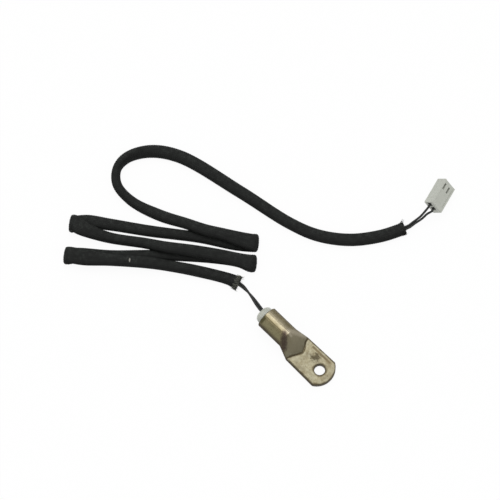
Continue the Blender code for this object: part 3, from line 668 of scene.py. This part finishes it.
def wire_route(number):
    """A whole wire in the layout frame, from its joint sleeve to its contact."""
    sign = 1.0 if number == 1 else -1.0
    start = [TO_ROW.inverted() @ point for point in wire_start(number)]
    middle_rows = smooth_curve(sleeve_route(), WIRE_STEP)
    pair = [*(Vector(point) for point in PAIR_TO_SLEEVE),
            *(row.xyz for row in middle_rows),
            *(Vector(point) for point in PAIR_FROM_SLEEVE)]
    rolls = [PAIR_TWIST * i / len(PAIR_TO_SLEEVE) for i in range(len(PAIR_TO_SLEEVE))]
    rolls += [PAIR_TWIST + row[5] for row in middle_rows]
    rolls += [PAIR_TWIST for _ in PAIR_FROM_SLEEVE]
    twisted = []
    for point, (along, side), roll in zip(pair, side_axes(pair), rolls):
        apart, _ = rolled(along, side, roll)
        twisted.append(point - apart * (sign * WIRE_SPACING / 2))
    turn = housing_matrix()
    contact_y = CAVITY_SHIFT + sign * CONTACT_PITCH / 2
    contact_start = HOUSING_LENGTH / 2 - FRONT_WALL - CONTACT_SETBACK - CONTACT_LENGTH
    rear = -HOUSING_LENGTH / 2
    entry = [turn @ Vector((x, contact_y, -CAVITY_DROP))
             for x in (rear - ENTRY_RUN, rear, contact_start + WIRE_IN_CONTACT)]
    free_end = [twisted[-1], *(Vector(point) for point in SPLIT_TO_CONNECTOR[number]), *entry]
    free_start = [*start, *twisted[:len(PAIR_TO_SLEEVE) + 1]]
    smooth_start = smooth_curve(free_start, FREE_WIRE_STEP)
    smooth_end = smooth_curve(free_end, FREE_WIRE_STEP)
    return smooth_start[:-1] + twisted[len(PAIR_TO_SLEEVE):-1] + smooth_end


def make_wire(number, material):
    """A wire as a round tube, from its joint in the terminal to its contact."""
    points = [TO_ROW @ point for point in wire_route(number)]
    curve = bpy.data.curves.new(f"lead_wire_{number}", "CURVE")
    curve.dimensions = "3D"
    curve.bevel_depth = WIRE_DIAMETER / 2
    curve.bevel_resolution = WIRE_ROUNDNESS
    curve.use_fill_caps = True
    spline = curve.splines.new("POLY")
    spline.points.add(len(points) - 1)
    for slot, point in zip(spline.points, points):
        slot.co = (*point, 1.0)
    wire = add_piece(f"lead_wire_{number}", curve, material)
    return wire, points


def feed(tree, value, socket):
    """Join a socket to another, or set it to a number or colour."""
    if isinstance(value, bpy.types.NodeSocket):
        tree.links.new(value, socket)
    else:
        socket.default_value = value


def calculate(tree, operation, a, b=0.0, clamp=False):
    """One step of arithmetic on two values."""
    node = tree.nodes.new("ShaderNodeMath")
    node.operation = operation
    node.use_clamp = clamp
    feed(tree, a, node.inputs[0])
    feed(tree, b, node.inputs[1])
    return node.outputs[0]


def vector_step(tree, operation, a, b):
    """One step of arithmetic on two vectors."""
    node = tree.nodes.new("ShaderNodeVectorMath")
    node.operation = operation
    feed(tree, a, node.inputs[0])
    feed(tree, b, node.inputs[1])
    return node.outputs["Value"] if operation in ("LENGTH", "DOT_PRODUCT") else node.outputs["Vector"]


def ramp(tree, value, low=0.0, high=1.0, at_low=0.0, at_high=1.0):
    """A smooth change between two limits of a value."""
    node = tree.nodes.new("ShaderNodeMapRange")
    node.interpolation_type = "SMOOTHSTEP"
    feed(tree, value, node.inputs["Value"])
    for name, number in (("From Min", low), ("From Max", high), ("To Min", at_low), ("To Max", at_high)):
        feed(tree, number, node.inputs[name])
    return node.outputs["Result"]


def noise(tree, vector, scale, detail):
    """Cloudy noise, mostly between 0 and 1."""
    node = tree.nodes.new("ShaderNodeTexNoise")
    feed(tree, vector, node.inputs["Vector"])
    feed(tree, scale, node.inputs["Scale"])
    node.inputs["Detail"].default_value = detail
    return node.outputs["Fac"]


def blend(tree, share, a, b):
    """Two colours mixed by a share."""
    node = tree.nodes.new("ShaderNodeMix")
    node.data_type = "RGBA"
    feed(tree, share, node.inputs[0])
    feed(tree, (*a, 1.0) if isinstance(a, tuple) else a, node.inputs[6])
    feed(tree, (*b, 1.0) if isinstance(b, tuple) else b, node.inputs[7])
    return node.outputs[2]


def vector_length(tree, vector):
    """The length of a vector."""
    return vector_step(tree, "LENGTH", vector, (0.0, 0.0, 0.0))


def split_up(tree, vector):
    """The x, y and z of a vector."""
    node = tree.nodes.new("ShaderNodeSeparateXYZ")
    tree.links.new(vector, node.inputs[0])
    return node.outputs


def swing(tree, value, amount):
    """How far a value lies from a half, times an amount."""
    return calculate(tree, "MULTIPLY", calculate(tree, "SUBTRACT", value, 0.5), amount)


def new_group(name, inputs, output):
    """A node group with named inputs of a kind each, and one output value."""
    group = bpy.data.node_groups.new(name, "ShaderNodeTree")
    for label, kind in inputs:
        group.interface.new_socket(label, in_out="INPUT", socket_type=kind)
    group.interface.new_socket(output, in_out="OUTPUT", socket_type="NodeSocketFloat")
    source = group.nodes.new("NodeGroupInput")
    target = group.nodes.new("NodeGroupOutput")
    return group, source.outputs, target.inputs[output]


def use_group(tree, name, **values):
    """A shared group in a material, with its inputs given by name."""
    node = tree.nodes.new("ShaderNodeGroup")
    node.node_tree = bpy.data.node_groups[name]
    for label, value in values.items():
        feed(tree, value, node.inputs[label])
    return node.outputs[0]


def make_mottle_group():
    """Cloudy unevenness from 0 to 1, about a half."""
    group, given, result = new_group("mottle", [
        ("Vector", "NodeSocketVector"), ("Scale", "NodeSocketFloat"),
        ("Contrast", "NodeSocketFloat")], "Value")
    cloud = noise(group, given["Vector"], given["Scale"], detail=4.0)
    stretched = swing(group, cloud, given["Contrast"])
    group.links.new(calculate(group, "ADD", stretched, 0.5, clamp=True), result)


def make_spot_group():
    """A soft spot about a place, with an uneven edge."""
    group, given, result = new_group("spot", [
        ("Vector", "NodeSocketVector"), ("Place", "NodeSocketVector"), ("Size", "NodeSocketVector"),
        ("Breakup", "NodeSocketFloat")], "Mask")
    away = vector_step(group, "SUBTRACT", given["Vector"], given["Place"])
    scaled = vector_step(group, "DIVIDE", away, given["Size"])
    distance = vector_length(group, scaled)
    uneven = swing(group, noise(group, scaled, scale=1.6, detail=3.0), given["Breakup"])
    shifted = calculate(group, "ADD", distance, uneven)
    group.links.new(ramp(group, shifted, low=1.15, high=0.55), result)


def make_streak_group():
    """A soft streak between two places, with an uneven edge."""
    group, given, result = new_group("streak", [
        ("Vector", "NodeSocketVector"), ("Start", "NodeSocketVector"), ("End", "NodeSocketVector"),
        ("Width", "NodeSocketFloat"), ("Breakup", "NodeSocketFloat")], "Mask")
    run = vector_step(group, "SUBTRACT", given["End"], given["Start"])
    away = vector_step(group, "SUBTRACT", given["Vector"], given["Start"])
    reach = vector_step(group, "DOT_PRODUCT", run, run)
    share = calculate(group, "DIVIDE", vector_step(group, "DOT_PRODUCT", away, run), reach, clamp=True)
    scaled = group.nodes.new("ShaderNodeVectorMath")
    scaled.operation = "SCALE"
    group.links.new(run, scaled.inputs[0])
    group.links.new(share, scaled.inputs["Scale"])
    gap = vector_step(group, "SUBTRACT", away, scaled.outputs["Vector"])
    distance = calculate(group, "DIVIDE", vector_length(group, gap), given["Width"])
    uneven = noise(group, given["Vector"], scale=1500.0, detail=4.0)
    shifted = calculate(group, "ADD", distance, swing(group, uneven, given["Breakup"]))
    group.links.new(ramp(group, shifted, low=1.3, high=0.1), result)


def make_line_group():
    """A thin line where a value is near nothing."""
    group, given, result = new_group("line", [
        ("Distance", "NodeSocketFloat"), ("Width", "NodeSocketFloat")], "Mask")
    away = calculate(group, "ABSOLUTE", given["Distance"])
    away = calculate(group, "DIVIDE", away, given["Width"])
    group.links.new(ramp(group, away, low=1.0, high=0.3), result)


def make_side_group():
    """Where a face looks sideways rather than up."""
    group, given, result = new_group("side", [
        ("Normal", "NodeSocketVector"), ("Low", "NodeSocketFloat"), ("High", "NodeSocketFloat")], "Mask")
    upright = vector_step(group, "DOT_PRODUCT", given["Normal"], (0.0, 0.0, 1.0))
    group.links.new(ramp(group, upright, given["High"], given["Low"]), result)


def start_material(name, roughness, metallic=0.0):
    """A material, its tree, its shader and its place on the object."""
    material = bpy.data.materials.new(name)
    material.use_nodes = True
    tree = material.node_tree
    shader = tree.nodes["Principled BSDF"]
    shader.inputs["Roughness"].default_value = roughness
    shader.inputs["Metallic"].default_value = metallic
    coordinates = tree.nodes.new("ShaderNodeTexCoord")
    return material, tree, shader, coordinates.outputs["Object"]


def add_bump(tree, shader, height, strength, distance):
    """Small relief that the material adds to the shape."""
    bump = tree.nodes.new("ShaderNodeBump")
    bump.inputs["Strength"].default_value = strength
    bump.inputs["Distance"].default_value = distance
    feed(tree, height, bump.inputs["Height"])
    tree.links.new(bump.outputs["Normal"], shader.inputs["Normal"])


def chevron_distance(tree, x, y):
    """How far a place lies from the peaked edge where the barrel has become the palm."""
    outward = calculate(tree, "DIVIDE", calculate(tree, "ABSOLUTE", y), CHEVRON_HALF_WIDTH)
    rise = calculate(tree, "MULTIPLY", calculate(tree, "SUBTRACT", 1.0, outward), CHEVRON_PEAK)
    return calculate(tree, "SUBTRACT", x, calculate(tree, "ADD", rise, CHEVRON_BASE))


def streaks(tree, place, upward, kind):
    """Where any streak of one kind lies on the sides that face upward."""
    breakup, listed = STREAKS[kind]
    flat = vector_step(tree, "MULTIPLY", place, (1.0, 1.0, 0.0))
    found = None
    for start, end, width in listed:
        streak = use_group(tree, "streak", Vector=flat, Start=(*start, 0.0), End=(*end, 0.0),
                           Width=width, Breakup=breakup)
        found = streak if found is None else calculate(tree, "MAXIMUM", streak, found)
    return calculate(tree, "MULTIPLY", found, upward)


def palm_rim(tree, place, y, cloud):
    """The tarnished band along the palm's outline and round its hole."""
    inside = calculate(tree, "SUBTRACT", PALM_HALF_WIDTH, calculate(tree, "ABSOLUTE", y))
    to_arc = vector_step(tree, "SUBTRACT", place, TIP_ARC_CENTER)
    arc = calculate(tree, "SUBTRACT", TIP_ARC_RADIUS, vector_length(tree, to_arc))
    arc = calculate(tree, "ADD", arc, ramp(tree, split_up(tree, to_arc)[0], low=ARC_START, high=0.0))
    to_hole = vector_step(tree, "SUBTRACT", place, HOLE_CENTER)
    hole = calculate(tree, "SUBTRACT", vector_length(tree, to_hole), HOLE_RADIUS)
    near = calculate(tree, "MINIMUM", calculate(tree, "MINIMUM", inside, arc), hole)
    near = calculate(tree, "ADD", near, swing(tree, cloud, RIM_BAND))
    return ramp(tree, near, low=RIM_BAND, high=0.0)


def marked(tree, color, kind, mask):
    """A colour with one kind of mark laid over it."""
    share, mark = MARKS[kind]
    return blend(tree, calculate(tree, "MULTIPLY", mask, share), color, mark)


def bare_metal(tree, place, x, y, cloud):
    """The tin before its stains: a drawn barrel with a painted reflection on its flank, a painted
    highlight on its top, and a mottled palm.
    """
    blotch = use_group(tree, "mottle", Vector=place, Scale=950.0, Contrast=2.6)
    drawn = vector_step(tree, "MULTIPLY", place, (0.22, 1.0, 1.0))
    drawn = use_group(tree, "mottle", Vector=drawn, Scale=900.0, Contrast=2.2)
    patchy = calculate(tree, "MULTIPLY", calculate(tree, "ADD", cloud, blotch), 0.5)
    palm = blend(tree, patchy, PALM_COLORS[0], PALM_COLORS[1])
    along = calculate(tree, "MULTIPLY", calculate(tree, "ADD", cloud, drawn), 0.5)
    barrel = blend(tree, along, BARREL_COLORS[0], BARREL_COLORS[1])
    # Painted reflection: the barrel turns paler towards its flank on one side
    flank = ramp(tree, y, low=FLANK_START, high=FLANK_END, at_high=FLANK_SHARE)
    barrel = blend(tree, flank, barrel, FLANK_REFLECTION_COLOR)
    # Painted highlight: a pale band along the top of the barrel
    to_band = calculate(tree, "SUBTRACT", y, TOP_BAND_SIDE)
    band = use_group(tree, "line", Distance=to_band, Width=TOP_BAND_WIDTH)
    barrel = marked(tree, barrel, "top_band", band)
    return blend(tree, ramp(tree, x, low=WEDGE_START, high=WEDGE_END), barrel, palm)


def neck_marks(tree, place, upward, color):
    """The pressed neck's wedge with a painted reflection, painted shade in its folds, painted highlights
    on its ridges, and the stained mouth.
    """
    # Painted reflection on the neck's wedge
    wedge = use_group(tree, "spot", Vector=place, Place=WEDGE_PLACE, Size=WEDGE_SIZE, Breakup=0.5)
    color = marked(tree, color, "wedge", wedge)
    # Painted shade in the neck's folds
    color = marked(tree, color, "shades", streaks(tree, place, upward, "shades"))
    # Painted highlights on the neck's ridges
    color = marked(tree, color, "ridges", streaks(tree, place, upward, "ridges"))
    mouth = use_group(tree, "spot", Vector=place, Place=MOUTH_PLACE, Size=MOUTH_SIZE, Breakup=0.7)
    return marked(tree, color, "mouth", mouth)


def chevron_line(tree, distance, cloud, grain):
    """The dark, slightly wandering line along the chevron."""
    away = calculate(tree, "ADD", distance, swing(tree, cloud, CHEVRON_WANDER))
    line = use_group(tree, "line", Distance=away, Width=CHEVRON_LINE * 2)
    return calculate(tree, "MULTIPLY", line, ramp(tree, grain, low=0.1, high=0.7, at_low=0.6))


def groove_line(tree, x, y):
    """The thin groove along one side of the palm, which fades out at both ends."""
    away = calculate(tree, "SUBTRACT", y, GROOVE_SIDE)
    groove = use_group(tree, "line", Distance=away, Width=GROOVE_WIDTH * 2)
    for end, full in ((GROOVE_START, GROOVE_START + GROOVE_FADE), (GROOVE_END, GROOVE_END - GROOVE_FADE)):
        groove = calculate(tree, "MULTIPLY", groove, ramp(tree, x, low=end, high=full))
    return groove


def terminal_material():
    """Tinned copper: a bright mottled palm, a duller barrel, brown oxide at the pressed edges with
    painted shade on every side that turns from up, and painted light on the barrel and neck.
    """
    material, tree, shader, place = start_material("tinned_copper", 0.3, 1.0)
    x, y, _ = split_up(tree, place)
    normal = tree.nodes.new("ShaderNodeNewGeometry").outputs["Normal"]
    upward = ramp(tree, split_up(tree, normal)[2], high=0.3)

    cloud = use_group(tree, "mottle", Vector=place, Scale=360.0, Contrast=2.6)
    grain = use_group(tree, "mottle", Vector=place, Scale=2200.0, Contrast=2.0)
    color = bare_metal(tree, place, x, y, cloud)
    color = marked(tree, color, "specks", ramp(tree, grain, low=0.45, high=0.10))
    color = neck_marks(tree, place, upward, color)
    distance = chevron_distance(tree, x, y)
    chevron = chevron_line(tree, distance, cloud, grain)
    color = marked(tree, color, "chevron", chevron)
    groove = groove_line(tree, x, y)
    color = marked(tree, color, "groove", groove)
    stains = streaks(tree, place, upward, "stains")
    color = marked(tree, color, "stains", stains)
    color = marked(tree, color, "faint_stains", streaks(tree, place, upward, "faint_stains"))
    on_palm = ramp(tree, distance, high=RIM_START)
    rim = calculate(tree, "MULTIPLY", palm_rim(tree, place, y, cloud), on_palm)
    color = marked(tree, color, "rim", rim)
    # Brown oxide at the cut edges, with painted shade on every side that turns away from up
    edges = use_group(tree, "side", Normal=normal, Low=0.25, High=0.78)
    color = marked(tree, color, "edges", edges)
    tree.links.new(color, shader.inputs["Base Color"])

    dull = calculate(tree, "MAXIMUM", calculate(tree, "MAXIMUM", stains, edges), rim)
    dull = calculate(tree, "MAXIMUM", dull, chevron)
    satin = ramp(tree, cloud, at_low=0.28, at_high=0.40)
    on_barrel = ramp(tree, x, low=WEDGE_END, high=WEDGE_START, at_high=0.03)
    satin = calculate(tree, "ADD", satin, on_barrel)
    rough = calculate(tree, "ADD", satin, calculate(tree, "MULTIPLY", dull, 0.22))
    tree.links.new(rough, shader.inputs["Roughness"])
    pits = calculate(tree, "MULTIPLY", grain, 0.25)
    height = calculate(tree, "SUBTRACT", calculate(tree, "ADD", pits, cloud), groove)
    add_bump(tree, shader, height, strength=0.35, distance=0.00008)
    return material


def potting_material():
    """Cast resin, pale grey and a little cloudy, which lets light in near its surface."""
    material, tree, shader, place = start_material("grey_potting", 0.34)
    cloud = use_group(tree, "mottle", Vector=place, Scale=500.0, Contrast=1.5)
    color = blend(tree, cloud, POTTING_COLORS[0], POTTING_COLORS[1])
    tree.links.new(color, shader.inputs["Base Color"])
    shader.inputs["Subsurface Weight"].default_value = 0.25
    shader.inputs["Subsurface Radius"].default_value = (0.0012, 0.0011, 0.0009)
    shader.inputs["Subsurface Scale"].default_value = 1.0
    rough = ramp(tree, cloud, at_low=0.28, at_high=0.42)
    tree.links.new(rough, shader.inputs["Roughness"])
    add_bump(tree, shader, cloud, strength=0.3, distance=0.0001)
    return material


def plastic_material():
    """Natural nylon: off-white, satin and slightly see-through at its thin walls."""
    material, tree, shader, place = start_material("off_white_plastic", 0.42)
    cloud = use_group(tree, "mottle", Vector=place, Scale=380.0, Contrast=1.4)
    grain = use_group(tree, "mottle", Vector=place, Scale=2600.0, Contrast=1.5)
    tree.links.new(blend(tree, cloud, PLASTIC_COLORS[0], PLASTIC_COLORS[1]), shader.inputs["Base Color"])
    shader.inputs["Subsurface Weight"].default_value = 0.12
    shader.inputs["Subsurface Radius"].default_value = (0.0010, 0.0010, 0.0009)
    shader.inputs["Subsurface Scale"].default_value = 1.0
    rough = ramp(tree, grain, at_low=0.4, at_high=0.5)
    tree.links.new(rough, shader.inputs["Roughness"])
    add_bump(tree, shader, grain, strength=0.1, distance=0.00003)
    return material


def lint_fleck(tree, place):
    """Where the fleck of lint lies, turned along the leg that it clings to."""
    away = vector_step(tree, "SUBTRACT", place, tuple(TO_ROW @ Vector(FLECK_PLACE)))
    turn = tree.nodes.new("ShaderNodeVectorRotate")
    turn.inputs["Angle"].default_value = -LAYOUT_TURN
    tree.links.new(away, turn.inputs["Vector"])
    fleck = use_group(tree, "spot", Vector=turn.outputs[0], Place=(0.0, 0.0, 0.0),
                      Size=FLECK_SIZE, Breakup=1.2)
    return calculate(tree, "MULTIPLY", fleck, FLECK_SHARE)


def braid_material(name, dark, light, roughness):
    """Woven filament yarn, darker in places, with painted light on its upper side and one fleck of lint.
    """
    material, tree, shader, place = start_material(name, roughness)
    cloud = use_group(tree, "mottle", Vector=place, Scale=240.0, Contrast=1.8)
    grain = use_group(tree, "mottle", Vector=place, Scale=1500.0, Contrast=2.8)
    patch = use_group(tree, "mottle", Vector=place, Scale=620.0, Contrast=3.0)
    normal = tree.nodes.new("ShaderNodeNewGeometry").outputs["Normal"]
    # Painted light: the braid is paler on the side that faces up and away
    painted_light = vector_step(tree, "DOT_PRODUCT", normal, tuple(TO_ROW @ PAINTED_LIGHT_SIDE))
    painted_light = ramp(tree, painted_light, low=PAINTED_LIGHT_RANGE[0], high=PAINTED_LIGHT_RANGE[1], at_low=PAINTED_LIGHT_LEAST)
    share = calculate(tree, "MULTIPLY", ramp(tree, cloud, at_low=0.55), painted_light)
    share = calculate(tree, "MULTIPLY", share, ramp(tree, grain, at_low=0.1))
    share = calculate(tree, "MULTIPLY", share, ramp(tree, patch, at_low=0.35))
    color = blend(tree, share, dark, light)
    color = blend(tree, lint_fleck(tree, place), color, FLECK_COLOR)
    tree.links.new(color, shader.inputs["Base Color"])
    shader.inputs["Specular IOR Level"].default_value = 0.25
    uneven = ramp(tree, grain, at_low=roughness - 0.1, at_high=roughness + 0.1)
    tree.links.new(uneven, shader.inputs["Roughness"])
    add_bump(tree, shader, grain, strength=0.4, distance=0.00006)
    return material


def simple_material(name, dark, light, roughness, metallic):
    """A small part's material: two near colours in cloudy patches, with an uneven sheen."""
    material, tree, shader, place = start_material(name, roughness, metallic)
    cloud = use_group(tree, "mottle", Vector=place, Scale=600.0, Contrast=1.8)
    tree.links.new(blend(tree, cloud, dark, light), shader.inputs["Base Color"])
    uneven = ramp(tree, cloud, at_low=roughness - 0.06, at_high=roughness + 0.08)
    tree.links.new(uneven, shader.inputs["Roughness"])
    add_bump(tree, shader, cloud, strength=0.25, distance=0.00005)
    return material


def make_camera():
    """A long lens at the photograph's viewing angle."""
    camera = bpy.data.cameras.new("view")
    camera.sensor_width = SENSOR_WIDTH
    camera.lens = SENSOR_WIDTH * VIEW_DISTANCE / VIEW_WIDTH
    camera.clip_start = CLIP_NEAR
    camera.clip_end = CLIP_FAR
    item = add_piece("view", camera)
    looking = Vector((0.0, math.cos(VIEW_ELEVATION), -math.sin(VIEW_ELEVATION)))
    looking = TO_ROW.to_3x3() @ looking
    item.location = TO_ROW @ Vector(VIEW_TARGET) - looking * VIEW_DISTANCE
    item.rotation_euler = looking.to_track_quat("-Z", "Y").to_euler()
    bpy.context.scene.camera = item


def floor_material():
    """White where it is looked at, apart from a faint share that takes the object's shadow."""
    material = bpy.data.materials.new("floor")
    material.use_nodes = True
    tree = material.node_tree
    tree.nodes.clear()
    output = tree.nodes.new("ShaderNodeOutputMaterial")
    mix = tree.nodes.new("ShaderNodeMixShader")
    diffuse = tree.nodes.new("ShaderNodeBsdfDiffuse")
    diffuse.inputs["Color"].default_value = FLOOR_COLOR
    white = tree.nodes.new("ShaderNodeEmission")
    white.inputs["Color"].default_value = WHITE
    rays = tree.nodes.new("ShaderNodeLightPath").outputs
    seen = calculate(tree, "MAXIMUM", rays["Is Camera Ray"], rays["Is Glossy Ray"])
    seen = calculate(tree, "MAXIMUM", seen, rays["Is Transmission Ray"])
    share = calculate(tree, "MULTIPLY", seen, FLOOR_WHITENESS)
    tree.links.new(share, mix.inputs[0])
    tree.links.new(diffuse.outputs[0], mix.inputs[1])
    tree.links.new(white.outputs[0], mix.inputs[2])
    tree.links.new(mix.outputs[0], output.inputs["Surface"])
    return material


def make_floor():
    """A plain white floor that keeps a faint shadow of the object."""
    mesh = bpy.data.meshes.new("floor")
    corners = [(-FLOOR_REACH, -FLOOR_REACH, 0), (FLOOR_REACH, -FLOOR_REACH, 0),
               (FLOOR_REACH, FLOOR_REACH, 0), (-FLOOR_REACH, FLOOR_REACH, 0)]
    mesh.from_pydata(corners, [], [(0, 1, 2, 3)])
    floor = add_piece("floor", mesh, floor_material())


def make_light():
    """Soft light from all round, with a broad lamp overhead."""
    world = bpy.data.worlds.new("studio")
    bpy.context.scene.world = world
    world.use_nodes = True
    nodes = world.node_tree.nodes
    nodes.clear()
    output = nodes.new("ShaderNodeOutputWorld")
    background = nodes.new("ShaderNodeBackground")
    background.inputs["Color"].default_value = WHITE
    background.inputs["Strength"].default_value = WORLD_STRENGTH
    world.node_tree.links.new(background.outputs[0], output.inputs["Surface"])
    lamp = bpy.data.lights.new("overhead", "SUN")
    lamp.energy = LAMP_STRENGTH
    lamp.angle = LAMP_SPREAD
    item = add_piece("overhead", lamp)
    toward = TO_ROW.to_3x3() @ LAMP_DIRECTION
    item.rotation_euler = toward.to_track_quat("Z", "Y").to_euler()


def set_view():
    """Plain colours, with no film curve."""
    bpy.context.scene.view_settings.view_transform = "Standard"


def write_sizes():
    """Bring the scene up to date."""
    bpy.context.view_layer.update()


def make_materials():
    """The shared groups, then every material by the name of the pieces that wear it."""
    make_mottle_group()
    make_spot_group()
    make_streak_group()
    make_line_group()
    make_side_group()
    return {
        "terminal_lug": terminal_material(),
        "potting": potting_material(),
        "connector_housing": plastic_material(),
        **{piece: simple_material(*look) for piece, look in SIMPLE_LOOKS.items()},
        **{piece: braid_material(*look) for piece, look in YARN_LOOKS.items()},
    }


def dress_solids(materials):
    """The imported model's own solids get their materials by the start of their names."""
    for node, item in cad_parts.items():
        for name in ("terminal_lug", "potting", "connector_housing", "thermistor_bead", "thermistor_lead",
                     "joint_sleeve", "contact"):
            if node.startswith(name):
                item.data.materials.clear()
                item.data.materials.append(materials[name])


def add_sleeve(materials):
    """The woven sleeve with the loose filaments at both of its cut ends."""
    sleeve, rings, path = make_sleeve(materials["braid"])
    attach(sleeve, "root")
    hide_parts("braided_sleeve")
    start_run = (path[0] - path[FRAY_RUN_ROWS]).normalized()
    end_run = (path[-1] - path[-1 - FRAY_RUN_ROWS]).normalized()
    frays = [
        make_frayed_end("frayed_end_terminal", rings[0], start_run, FRAY_BACK_TERMINAL,
                        FRAY_SPREAD_TERMINAL, FRAY_LEAN_TERMINAL, FRAY_SEED_TERMINAL,
                        materials["fray_grey"]),
        make_frayed_end("frayed_end_connector", rings[-1], end_run, FRAY_BACK_CONNECTOR,
                        FRAY_SPREAD_CONNECTOR, TO_ROW @ FRAY_LEAN_CONNECTOR, FRAY_SEED_CONNECTOR,
                        materials["fray_dark"]),
    ]


def add_wires(materials):
    """Both wires, in place of the imported ones."""
    for number in (1, 2):
        wire, points = make_wire(number, materials["wire"])
        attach(wire, "root")
        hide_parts(f"wire_{number}")
        pieces = [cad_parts["connector_housing"]] if number == 1 else []
        pieces.append(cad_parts[f"contact_{number}"])


def main():
    set_view()
    make_camera()
    make_floor()
    make_light()
    materials = make_materials()
    add_sleeve(materials)
    add_wires(materials)
    dress_solids(materials)


main()
write_sizes()
